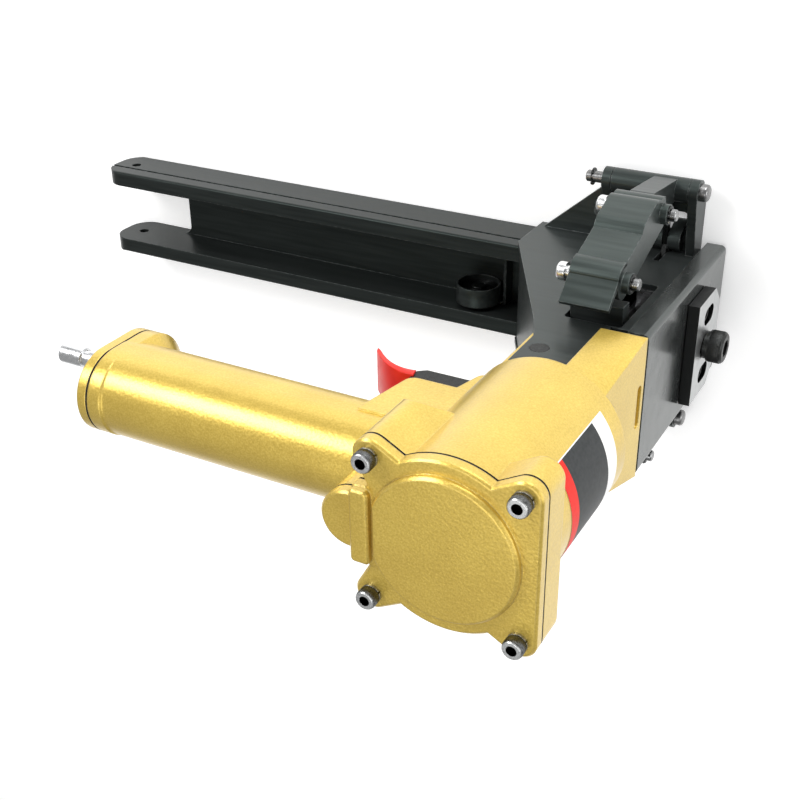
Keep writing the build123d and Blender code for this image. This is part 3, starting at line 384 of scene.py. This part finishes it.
def gloss_black():
    """Glossy black lacquer on the front plate, slightly uneven."""
    material, tree, shader = new_material("gloss_black_lacquer")
    dark, light = (0.012, 0.013, 0.0128), (0.022, 0.0235, 0.023)
    cloud = noise(tree, grain=9 * mm, detail=3)
    colour = two_tone(tree, cloud, dark, light)
    colour = edges_worn_and_lit(tree, colour, bare_edge, radius=0.7 * mm, grain=2.5 * mm, low=0, high=0.5, end=0.6)
    tree.links.new(colour, shader.inputs["Base Color"])
    tree.links.new(spread(tree, cloud, low=0.2, high=0.28), shader.inputs["Roughness"])
    shader.inputs["Specular Tint"].default_value = cool_tint
    shader.inputs["Coat Weight"].default_value = 0.3
    shader.inputs["Coat Roughness"].default_value = 0.2
    waves = noise(tree, grain=7 * mm, detail=2)
    bump(tree, shader, waves, depth=0.02 * mm, strength=0.3, normal=rounded_normal(tree, 0.6 * mm))
    return material


def steel(name, dark, light, rough, stretch=(1, 1, 1)):
    """Bare or oxidised steel with fine machining lines."""
    material, tree, shader = new_material(name)
    lines = noise(tree, line_grain, line_detail, stretch)
    colour = two_tone(tree, lines, dark, light)
    bare_metal(tree, shader, colour, lines, (rough, rough + rough_spread))
    return material


def cap_screw_steel():
    """Plated screw: dark sides, a bright end face, and painted shade, near black, in its socket."""
    material, tree, shader = new_material("plated_cap_screw")
    low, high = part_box("cap_screws")
    middle = [(low[i] + high[i]) / 2 for i in range(2)]
    half = [(high[i] - low[i]) / 2 - head_r for i in range(2)]

    # Distance from the axis of the nearest of the four screws
    coordinates = tree.nodes.new("ShaderNodeTexCoord")
    distance = coordinates.outputs["Object"]
    for operation, value in (("SUBTRACT", (*middle, 0)), ("ABSOLUTE", None), ("SUBTRACT", (*half, 0)),
                             ("MULTIPLY", (1, 1, 0)), ("LENGTH", None)):
        step = tree.nodes.new("ShaderNodeVectorMath")
        step.operation = operation
        tree.links.new(distance, step.inputs[0])
        if value is not None:
            step.inputs[1].default_value = value
        distance = step.outputs["Value" if operation == "LENGTH" else "Vector"]

    height = coordinate(tree, "Object", "Z")
    end_face = spread(tree, height, 0, 1, *(high[2] - depth for depth in head_face))
    outside_socket_shade = spread(tree, distance, 0, 1, socket_shade_r - socket_shade_blur, socket_shade_r)
    lines = noise(tree, line_grain, line_detail)
    side = two_tone(tree, lines, (0.05, 0.052, 0.052), (0.12, 0.123, 0.122))
    face = two_tone(tree, lines, (0.5, 0.51, 0.51), (0.75, 0.76, 0.76))
    outside = mixed(tree, end_face, side, face)
    # Painted shade: the socket is coloured near black, the rest keeps its steel
    colour = mixed(tree, outside_socket_shade, (0.004, 0.004, 0.004), outside)
    bare_metal(tree, shader, colour, lines, rough=(0.24, 0.36), round_off=0.4 * mm)
    return material


def pin_steel():
    """Turned pin of one steel: a painted highlight, near white, on its rear head and plain steel at its
    front end.
    """
    material, tree, shader = new_material("polished_pins")
    front = spread(tree, coordinate(tree, "Object", "X"), 0, 1, *pin_change_x)
    lines = noise(tree, line_grain, line_detail)
    # Painted highlight: the head end is near white, the front end is the pin's plain steel
    head = two_tone(tree, lines, (0.72, 0.73, 0.735), (0.88, 0.89, 0.895))
    end = two_tone(tree, lines, (0.2, 0.203, 0.205), (0.32, 0.323, 0.325))
    bare_metal(tree, shader, mixed(tree, front, head, end), lines, rough=(0.2, 0.34))
    return material


def ground_and_sheen_plate():
    """Black oxidised plate whose faces towards the front are light grey, partly a ground face and partly a
    painted reflection of the light from the front; the rest dark.
    """
    material, tree, shader = new_material("ground_face_painted_sheen")
    # Painted reflection: faces turned towards +X turn light grey, partly also a ground face
    front_face_and_sheen = spread(tree, coordinate(tree, "Normal", "X"), 0, 1, start=0.8, end=0.95)
    lines = noise(tree, grain=0.6 * mm, detail=3, stretch=(1, 0.06, 1))
    lighter_tone = two_tone(tree, lines, (0.42, 0.43, 0.43), (0.58, 0.59, 0.59))
    colour = mixed(tree, front_face_and_sheen, (0.02, 0.021, 0.021), lighter_tone)
    bare_metal(tree, shader, colour, lines, rough=(0.3, 0.42), round_off=0.5 * mm, cloud=(3 * mm, 3))
    return material


def rubber():
    """Dull black rubber with a fine grain."""
    material, tree, shader = new_material("black_rubber")
    grain = noise(tree, grain=0.6 * mm, detail=3)
    colour = two_tone(tree, grain, (0.006, 0.006, 0.006), (0.016, 0.016, 0.016))
    tree.links.new(colour, shader.inputs["Base Color"])
    shader.inputs["Roughness"].default_value = 0.85
    shader.inputs["Specular IOR Level"].default_value = 0.15
    bump(tree, shader, grain, depth=0.03 * mm, strength=0.5)
    return material


def red_plastic():
    """Moulded red plastic with a soft gloss."""
    material, tree, shader = new_material("red_moulded_plastic")
    cloud = noise(tree, grain=6 * mm, detail=3)
    colour = two_tone(tree, cloud, (0.6, 0.014, 0.008), (0.68, 0.022, 0.013))
    tree.links.new(colour, shader.inputs["Base Color"])
    rough = spread(tree, noise(tree, grain=3 * mm, detail=3), low=0.3, high=0.4)
    tree.links.new(rough, shader.inputs["Roughness"])
    shader.inputs["Specular IOR Level"].default_value = 0.3
    waves = noise(tree, grain=2.5 * mm, detail=2)
    bump(tree, shader, waves, depth=0.012 * mm, strength=0.25, normal=rounded_normal(tree, 0.5 * mm))
    return material


def printed(name, dark, light):
    """Printed film: a near even colour with a slight grain."""
    material, tree, shader = new_material(name)
    colour = two_tone(tree, noise(tree, grain=2 * mm, detail=4), dark, light)
    tree.links.new(colour, shader.inputs["Base Color"])
    shader.inputs["Roughness"].default_value = 0.45
    shader.inputs["Specular IOR Level"].default_value = 0.18
    waves = noise(tree, grain=4 * mm, detail=2)
    bump(tree, shader, waves, depth=0.02 * mm, strength=0.3)
    return material


# Base colours of the black paints, and scales of the noise that draw its grains out into lines
satin_base = (0.016, 0.018, 0.0178)
channel_base = (0.009, 0.0103, 0.01)
link_base = (0.018, 0.021, 0.0203)
drawn_along_x = (0.08, 1, 1)
drawn_along_x_fine = (0.06, 1, 1)
drawn_along_y = (1, 0.08, 1)
ground_along_x = (0.1, 1, 1)
turned_about_z = (1, 1, 8)
finishes = {
    "gold_paint": gold_paint(),
    "black_paint": black_paint("satin_black_paint", satin_base, drawn_along_x),
    "black_channel": black_paint("satin_black_channel", channel_base, drawn_along_x_fine, 0.3, 0.19),
    "link_paint": black_paint("satin_black_links", link_base, drawn_along_x, gloss=0.52),
    "gloss_black": gloss_black(),
    "dark_steel": steel("black_oxide_steel", (0.02, 0.021, 0.0208), (0.055, 0.057, 0.056), 0.34),
    "bright_steel": steel("zinc_plated_steel", (0.16, 0.16, 0.162), (0.3, 0.3, 0.298), 0.26),
    "ground_steel": steel("ground_steel", (0.3, 0.3, 0.31), (0.5, 0.5, 0.51), 0.26, ground_along_x),
    "polished_pins": pin_steel(),
    "piston_alloy": steel("turned_alloy", (0.55, 0.55, 0.57), (0.75, 0.75, 0.77), 0.26, turned_about_z),
    "valve_brass": steel("turned_brass", (0.55, 0.38, 0.14), (0.72, 0.54, 0.22), 0.24, turned_about_z),
    "black_rubber": rubber(),
    "red_plastic": red_plastic(),
}

# Nodes whose finish isn't that of their slot
node_finishes = {
    "claw_left": finishes["dark_steel"],
    "claw_right": finishes["dark_steel"],
    "clinch_link_left": finishes["link_paint"],
    "clinch_link_right": finishes["link_paint"],
    "back_plate": black_paint("satin_black_back", satin_base, drawn_along_y),
    "depth_plate": ground_and_sheen_plate(),
    "cap_screws": cap_screw_steel(),
    "air_plug": steel("nickel_plated_plug", (0.62, 0.63, 0.64), (0.8, 0.81, 0.82), 0.2),
    "cap_lock_washers": steel("plated_washers", (0.3, 0.305, 0.31), (0.5, 0.505, 0.51), 0.24),
}
for subpart in frame["record"]["subparts"]:
    node_materials = nodes[subpart["node"]].data.materials
    node_materials.clear()
    node_materials.append(node_finishes.get(subpart["node"], finishes[subpart["material_slot"]]))


# Small pieces

def piece_from(name, mesh_data, material, body):
    """A piece of that mesh and on a body."""
    mesh = bpy.data.meshes.new(name)
    bmesh.ops.recalc_face_normals(mesh_data, faces=mesh_data.faces)
    mesh_data.normal_update()
    mesh_data.to_mesh(mesh)
    mesh_data.free()
    mesh.shade_smooth()
    mesh.set_sharp_from_angle(angle=smooth_angle)
    mesh.materials.append(material)
    piece = bpy.data.objects.new(name, mesh)
    bpy.context.collection.objects.link(piece)
    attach(piece, body)
    return piece


def add_tube(mesh_data, rings, closed=False):
    """Faces between rings of points, and from the last ring to the first or else over both ends."""
    rows = [[mesh_data.verts.new(point) for point in ring] for ring in rings]
    pairs = list(zip(rows, rows[1:]))
    if closed:
        pairs.append((rows[-1], rows[0]))
    count = len(rows[0])
    for first, second in pairs:
        for j in range(count):
            k = (j + 1) % count
            mesh_data.faces.new((first[j], first[k], second[k], second[j]))
    if not closed:
        mesh_data.faces.new(rows[0])
        mesh_data.faces.new(list(reversed(rows[-1])))


def tube_piece(name, rings, material, body, closed=False):
    """A piece made of one tube."""
    mesh_data = bmesh.new()
    add_tube(mesh_data, rings, closed)
    return piece_from(name, mesh_data, material, body)


def film(name, material, low, high, half_turn, r):
    """A film around the cylinder's front."""
    section = ((r, low), (r + film_t, low), (r + film_t, high), (r, high))
    rings = []
    for i in range(film_steps + 1):
        turn = half_turn * (2 * i / film_steps - 1)
        rings.append([(radius * math.cos(turn), radius * math.sin(turn), z) for radius, z in section])
    tube_piece(name, rings, material, "frame")


def label():
    """Plain printed label on the cylinder's front: white film, dark field, red band."""
    liner_low, liner_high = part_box("cylinder_liner")
    r = (liner_high[0] - liner_low[0]) / 2 + housing_wall + label_lift
    inner_turn = label_half_turn - label_rim / r
    band_low = label_high - label_band
    white = printed("white_film", (0.78, 0.78, 0.77), (0.86, 0.86, 0.85))
    dark = printed("dark_print", (0.022, 0.025, 0.026), (0.036, 0.039, 0.04))
    red = printed("red_print", (0.66, 0.014, 0.008), (0.74, 0.022, 0.012))
    film("label_film", white, label_low, label_high, label_half_turn, r)
    film("label_field", dark, label_low + label_foot, band_low, inner_turn, r + film_t)
    film("label_band", red, band_low, label_high, inner_turn, r + film_t)


def pin_places(node):
    """Side of each pin of a node, and the place of its axis along Y and Z."""
    low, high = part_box(node)
    node_r = (high[2] - low[2]) / 2
    z = (low[2] + high[2]) / 2
    if node.endswith("pins"):
        return [("left", high[1] - node_r, z), ("right", low[1] + node_r, z)]
    return [(node.split("_")[-1], (low[1] + high[1]) / 2, z)]


def turned_pin(y, z, head_end, plain_end):
    """Rings of a pin along X from its round head to its plain end, with a clip groove near that end."""
    way = 1 if plain_end > head_end else -1
    seat = head_end + way * pin_head_seat
    top = seat - way * pin_head_len
    groove = plain_end - way * clip_from_end
    groove_start = groove - way * pin_groove_t / 2
    groove_end = groove + way * pin_groove_t / 2
    profile = []
    for i in range(pin_head_steps + 1):
        angle = math.pi / 2 * i / pin_head_steps
        r = pin_head_r - pin_head_round * (1 - math.sin(angle))
        profile.append((r, top + way * pin_head_round * (1 - math.cos(angle))))
    profile += [
        (pin_head_r, seat), (pin_r, seat), (pin_r, groove_start), (groove_r, groove_start),
        (groove_r, groove_end), (pin_r, groove_end), (pin_r, plain_end - way * pin_chamfer),
        (pin_r - pin_chamfer, plain_end)]
    turns = [2 * math.pi * i / pin_steps for i in range(pin_steps)]
    rings = []
    for r, x in profile:
        rings.append([(x, y + r * math.cos(turn), z + r * math.sin(turn)) for turn in turns])
    return rings


def linkage_pins():
    """Pins with round heads and clip grooves, in place of the linkage's pin nodes."""
    for node, body, head_behind, finish in linkage_nodes:
        low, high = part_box(node)
        ends = (low[0], high[0]) if head_behind else (high[0], low[0])
        mesh_data = bmesh.new()
        for _, y, z in pin_places(node):
            add_tube(mesh_data, turned_pin(y, z, *ends))
        pins = piece_from(f"{node}_turned", mesh_data, finishes[finish], body)
        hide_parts(node)


def clip(name, centre, body):
    """Retaining clip in a pin's groove: an open ring with inner noses."""
    rings = []
    for i in range(clip_steps + 1):
        turn = clip_mouth / 2 + (2 * math.pi - clip_mouth) * i / clip_steps
        nose = max(0.0, math.cos(clip_noses * (turn - math.pi)))
        inner = groove_r + (1 - nose ** 0.5) * clip_nose_h
        outer = clip_r - clip_narrowing * (1 - abs(math.cos(turn / 2)))
        ring = []
        for r, x in ((inner, -clip_t / 2), (outer, -clip_t / 2), (outer, clip_t / 2), (inner, clip_t / 2)):
            ring.append((centre[0] + x, centre[1] + r * math.sin(turn), centre[2] + r * math.cos(turn)))
        rings.append(ring)
    tube_piece(name, rings, finishes["dark_steel"], body)


def pin_clips():
    """A clip in the groove of each linkage pin."""
    for node, body, head_behind, _ in linkage_nodes:
        low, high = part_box(node)
        x = high[0] - clip_from_end if head_behind else low[0] + clip_from_end
        for side, y, z in pin_places(node):
            clip(f"{node.split('_pin')[0]}_clip_{side}", (x, y, z), body)


def valve_spring():
    """The valve's coil spring, which the stem presses against its upper seat."""
    low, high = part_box("trigger_valve_spring")
    middle = ((low[0] + high[0]) / 2, (low[1] + high[1]) / 2)
    coil_r = (high[0] - low[0]) / 2 - valve_wire_r
    first_z, last_z = low[2] + valve_inset, high[2] - valve_inset
    up = Vector((0, 0, 1))
    turns = [2 * math.pi * i / valve_wire_steps for i in range(valve_wire_steps)]
    count = valve_turns * valve_steps
    rings = []
    for i in range(count + 1):
        angle = 2 * math.pi * i / valve_steps
        out = Vector((math.cos(angle), math.sin(angle), 0))
        centre = Vector((*middle, first_z + (last_z - first_z) * i / count)) + coil_r * out
        ring = []
        for turn in turns:
            ring.append(centre + valve_wire_r * (math.cos(turn) * out + math.sin(turn) * up))
        rings.append(ring)
    spring = tube_piece("valve_coil", rings, finishes["ground_steel"], "frame")
    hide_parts("trigger_valve_spring")
    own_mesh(spring)


def link_barrel(side, sign):
    """Ridge across a link's web, around its shoulder pin."""
    left_pin = pin_places("crosshead_pins")[0]
    pin_y, pin_z = left_pin[1:]
    rear_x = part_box(f"clinch_link_{side}")[0][0]
    front_x = rear_x + barrel_len
    inner = barrel_seat_r - barrel_sink
    rings = []
    for i in range(barrel_steps + 1):
        share = i / barrel_steps
        angle = math.radians(barrel_arc[0] + (barrel_arc[1] - barrel_arc[0]) * share)
        rise = min(1, barrel_run_in * min(share, 1 - share)) ** 0.5
        outer = barrel_seat_r + (barrel_r - barrel_seat_r) * rise
        ring = []
        for r, x in ((inner, rear_x), (outer, rear_x), (outer, front_x), (inner, front_x)):
            ring.append((x, sign * (pin_y + r * math.cos(angle)), pin_z + r * math.sin(angle)))
        rings.append(ring)
    tube_piece(f"link_barrel_{side}", rings, finishes["link_paint"], f"link_{side}")


def front_rim():
    """Recessed rim on the bent front plate's upper edge, which closes the slot under the housing's neck."""
    low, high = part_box("front_plate")
    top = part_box("main_housing")[0][2] - rim_gap
    bend = (high[0] - front_bend_r, high[1] - front_bend_r)
    inner_bend = (high[0] - front_t - rim_inner_r, high[1] - front_t - rim_inner_r)
    path = [((low[0], high[1] - rim_inset), (low[0], high[1] - front_t))]
    for i in range(rim_steps + 1):
        turn = math.pi / 2 * (1 - i / rim_steps)
        way = (math.cos(turn), math.sin(turn))
        outer = tuple(c + (front_bend_r - rim_inset) * w for c, w in zip(bend, way))
        inner = tuple(c + rim_inner_r * w for c, w in zip(inner_bend, way))
        path.append((outer, inner))
    path += [tuple((x, -y) for x, y in pair) for pair in reversed(path)]
    rings = []
    for outer, inner in path:
        rings.append([(*outer, high[2]), (*outer, top), (*inner, top), (*inner, high[2])])
    tube_piece("front_plate_rim", rings, finishes["gloss_black"], "frame")


def knurl(name, centre, axis, r, start, end, body, slot, finish):
    """Knurled sleeve on a screw head, from start to end along an axis through the centre."""
    teeth = round(2 * math.pi * r / knurl_pitch)
    turn = Vector((0, 0, 1)).rotation_difference(Vector(axis))
    inner = r - knurl_seat
    full_start, full_end = start + knurl_run_in, end - knurl_run_in
    profile = ((inner, start, 0), (r, start, 0), (r, full_start, 1),
               (r, full_end, 1), (r, end, 0), (inner, end, 0))
    rings = []
    for i in range(2 * teeth):
        angle = math.pi * i / teeth
        height = knurl_depth if i % 2 else knurl_root
        ring = []
        for radius, along, share in profile:
            full = radius + share * height
            point = Vector((full * math.cos(angle), full * math.sin(angle), along))
            ring.append(Vector(centre) + turn @ point)
        rings.append(ring)
    tube_piece(name, rings, finish, body, closed=True)


def screw_knurls():
    """Knurls on the four cap screws and on the clamp screw."""
    knurled = steel("knurled_steel", (0.05, 0.052, 0.052), (0.16, 0.163, 0.162), 0.22)
    low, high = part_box("cap_screws")
    washer_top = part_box("cap_lock_washers")[1][2]
    start, end = cap_knurl[0], high[2] - washer_top - cap_knurl[1]
    for x, end_name in ((low[0] + head_r, "rear"), (high[0] - head_r, "front")):
        for y, side in ((low[1] + head_r, "right"), (high[1] - head_r, "left")):
            knurl(f"cap_screw_knurl_{end_name}_{side}", (x, y, washer_top), (0, 0, 1), head_r,
                  start, end, "frame", "bright_steel", knurled)
    low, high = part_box("clamp_screw")
    centre = (high[0], (low[1] + high[1]) / 2, (low[2] + high[2]) / 2)
    knurl("clamp_screw_knurl", centre, (1, 0, 0), (high[1] - low[1]) / 2,
          *clamp_knurl, "clamp_screw", "dark_steel", finishes["dark_steel"])


def grip_side(share):
    """Point on the grip's finger side and the direction away from the finger, from tip to root."""
    run, climb = grip_root[0] - grip_tip[0], grip_root[1] - grip_tip[1]
    x = grip_tip[0] + run * share
    z = grip_tip[1] + climb * share + 4 * grip_bow * share * (1 - share)
    rise = climb + 4 * grip_bow * (1 - 2 * share)
    return Vector((x, 0, z)), Vector((-rise, 0, run)).normalized()


def grip_shell():
    """Thin curved finger piece, thicker towards the lever, with rounded sides."""
    low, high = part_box("trigger_grip")
    half = (high[1] - low[1]) / 2
    left = [(half - inward * grip_edge, inset) for inward, inset in grip_rounding]
    right = [(-y, inset) for y, inset in left]
    rings = []
    for y, inset in (*right, (0, 0), *reversed(left)):
        finger, back = [], []
        for i in range(grip_steps + 1):
            share = i / grip_steps
            foot, away = grip_side(share)
            t = grip_tip_t + (grip_root_t - grip_tip_t) * share ** grip_taper
            tip_inset = max(0, 1 - grip_tip_parts * share) ** 2
            cut = min(grip_edge * (inset + tip_inset), grip_cut_limit * t)
            side = Vector((0, y, 0))
            finger.append(foot + away * cut + side)
            back.append(foot + away * (t - cut) + side)
        rings.append(finger + list(reversed(back)))
    shell = tube_piece("grip_shell", rings, finishes["red_plastic"], "trigger")
    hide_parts("trigger_grip")


def lathe(name, profile, centre, slot, body, steps):
    """A closed profile of (radius, along Y) points turned around a line along Y."""
    rings = []
    for i in range(steps):
        angle = 2 * math.pi * i / steps
        out_x, out_z = math.cos(angle), math.sin(angle)
        rings.append([(centre[0] + r * out_x, y, centre[2] + r * out_z) for r, y in profile])
    return tube_piece(name, rings, finishes[slot], body, closed=True)


def pusher_drum(centre, start):
    """Round spring box, open towards the left."""
    end = start + drum_len
    inner_r = drum_r - drum_wall
    inner_y = start + drum_wall
    rim_across, rim_along = drum_rim_edge
    drum = lathe("pusher_drum", [
        (hub_r, start), (drum_r - drum_back_edge, start), (drum_r, start + drum_back_edge),
        (drum_r, end - rim_along), (drum_r - rim_across, end), (inner_r, end), (inner_r, inner_y),
        (hub_r, inner_y)], centre, "black_channel", "pusher", drum_steps)
    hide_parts("pusher")


def pusher_hub(centre, start, head_y):
    """Axle of the spring box with a flat head over the spring."""
    hub = lathe("pusher_hub", [
        (hub_bore_r, start), (hub_r, start), (hub_r, head_y), (hub_head_r, head_y),
        (hub_head_r, head_y + hub_head_t), (hub_top_r, head_y + hub_top_t),
        (hub_bore_r, head_y + hub_top_t)], centre, "dark_steel", "pusher", hub_steps)
    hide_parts("pusher_axle")


def pusher_spring(centre, start, end):
    """Spring strip wound from the hub to the drum's wall."""
    first_r, last_r = hub_r + spring_t, drum_r - drum_wall - spring_t
    count = spring_turns * spring_steps
    rings = []
    for i in range(count + 1):
        angle = 2 * math.pi * i / spring_steps
        out_x, out_z = math.cos(angle), math.sin(angle)
        inner = first_r + (last_r - first_r) * i / count
        outer = inner + spring_t
        section = ((inner, start), (outer, start), (outer, end), (inner, end))
        rings.append([(centre[0] + r * out_x, y, centre[2] + r * out_z) for r, y in section])
    spring = tube_piece("pusher_spring", rings, finishes["dark_steel"], "pusher")
    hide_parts("pusher_spring_roll")


def pusher_bracket(low, high):
    """Folded sheet: a side wall along the pusher's right and a front wall across it."""
    rear_x, wall_x = low[0] + bracket_rear, high[0] - bracket_t
    wall_y = low[1] + bracket_t
    plan = [(rear_x, low[1]), (high[0], low[1]), (high[0], high[1]), (wall_x, high[1]),
            (wall_x, wall_y), (rear_x, wall_y)]
    bottom = [(x, y, low[2]) for x, y in plan]
    top = [(x, y, low[2] + bracket_h) for x, y in plan]
    mesh_data = bmesh.new()
    add_tube(mesh_data, [bottom, top])
    bmesh.ops.recalc_face_normals(mesh_data, faces=mesh_data.faces)
    bmesh.ops.bevel(mesh_data, geom=list(mesh_data.edges), offset=bracket_edge,
                    segments=bracket_edge_steps, affect="EDGES")
    piece_from("pusher_bracket", mesh_data, finishes["black_channel"], "pusher")


def pusher_pieces():
    """The folded bracket and the spring drum on its side wall."""
    low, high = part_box("pusher")
    axle_low, axle_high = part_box("pusher_axle")
    centre = ((axle_low[0] + axle_high[0]) / 2, 0, low[2] + drum_gap + drum_r)
    start = low[1] + bracket_t
    spring_end = start + drum_len - drum_floor
    pusher_drum(centre, start)
    pusher_hub(centre, low[1], spring_end)
    pusher_spring(centre, start + drum_wall, spring_end)
    pusher_bracket(low, high)


label()
linkage_pins()
pin_clips()
valve_spring()
link_barrel("left", 1)
link_barrel("right", -1)
front_rim()
screw_knurls()
grip_shell()
pusher_pieces()


# Stage, light and camera

def floor():
    """Plain pale floor, which glows a little so that its shadows stay pale."""
    mesh = bpy.data.meshes.new("floor")
    corners = [(-floor_half, -floor_half, 0), (floor_half, -floor_half, 0),
               (floor_half, floor_half, 0), (-floor_half, floor_half, 0)]
    mesh.from_pydata(corners, [], [(0, 1, 2, 3)])
    plane = bpy.data.objects.new("floor", mesh)
    bpy.context.collection.objects.link(plane)
    material, tree, shader = new_material("pale_floor")
    colour = two_tone(tree, noise(tree, grain=0.5, detail=2), (0.9, 0.9, 0.9), (0.94, 0.94, 0.94))
    tree.links.new(colour, shader.inputs["Base Color"])
    shader.inputs["Roughness"].default_value = 0.8
    shader.inputs["Specular IOR Level"].default_value = 0.1
    shader.inputs["Emission Color"].default_value = (1, 1, 1, 1)
    shader.inputs["Emission Strength"].default_value = floor_glow
    mesh.materials.append(material)


def aim(thing, place, target, roll=0):
    """Puts a light or camera at a place, points it at the target and rolls it about that line."""
    turn = (Vector(target) - Vector(place)).to_track_quat("-Z", "Y")
    thing.location = place
    thing.rotation_mode = "QUATERNION"
    thing.rotation_quaternion = turn @ Quaternion((0, 0, 1), roll)


def soft_light(name, place, target, size, power):
    """A square area light."""
    light = bpy.data.lights.new(name, "AREA")
    light.energy = power
    light.size = size
    lamp = bpy.data.objects.new(name, light)
    aim(lamp, place, target)
    bpy.context.collection.objects.link(lamp)


def studio_world():
    """An even white surround."""
    world = bpy.data.worlds.new("studio")
    world.use_nodes = True
    background = world.node_tree.nodes["Background"]
    background.inputs["Color"].default_value = (1, 1, 1, 1)
    background.inputs["Strength"].default_value = world_strength
    bpy.context.scene.world = world
    bpy.context.scene.view_settings.view_transform = "Standard"


def photo_camera():
    """The camera at the photograph's viewing angle."""
    data = bpy.data.cameras.new("photo_camera")
    data.lens = camera_lens
    camera = bpy.data.objects.new("photo_camera", data)
    aim(camera, camera_place, camera_target, camera_roll)
    bpy.context.collection.objects.link(camera)
    bpy.context.scene.camera = camera


floor()
for light_values in lights:
    soft_light(*light_values)
studio_world()
photo_camera()

bpy.context.view_layer.update()
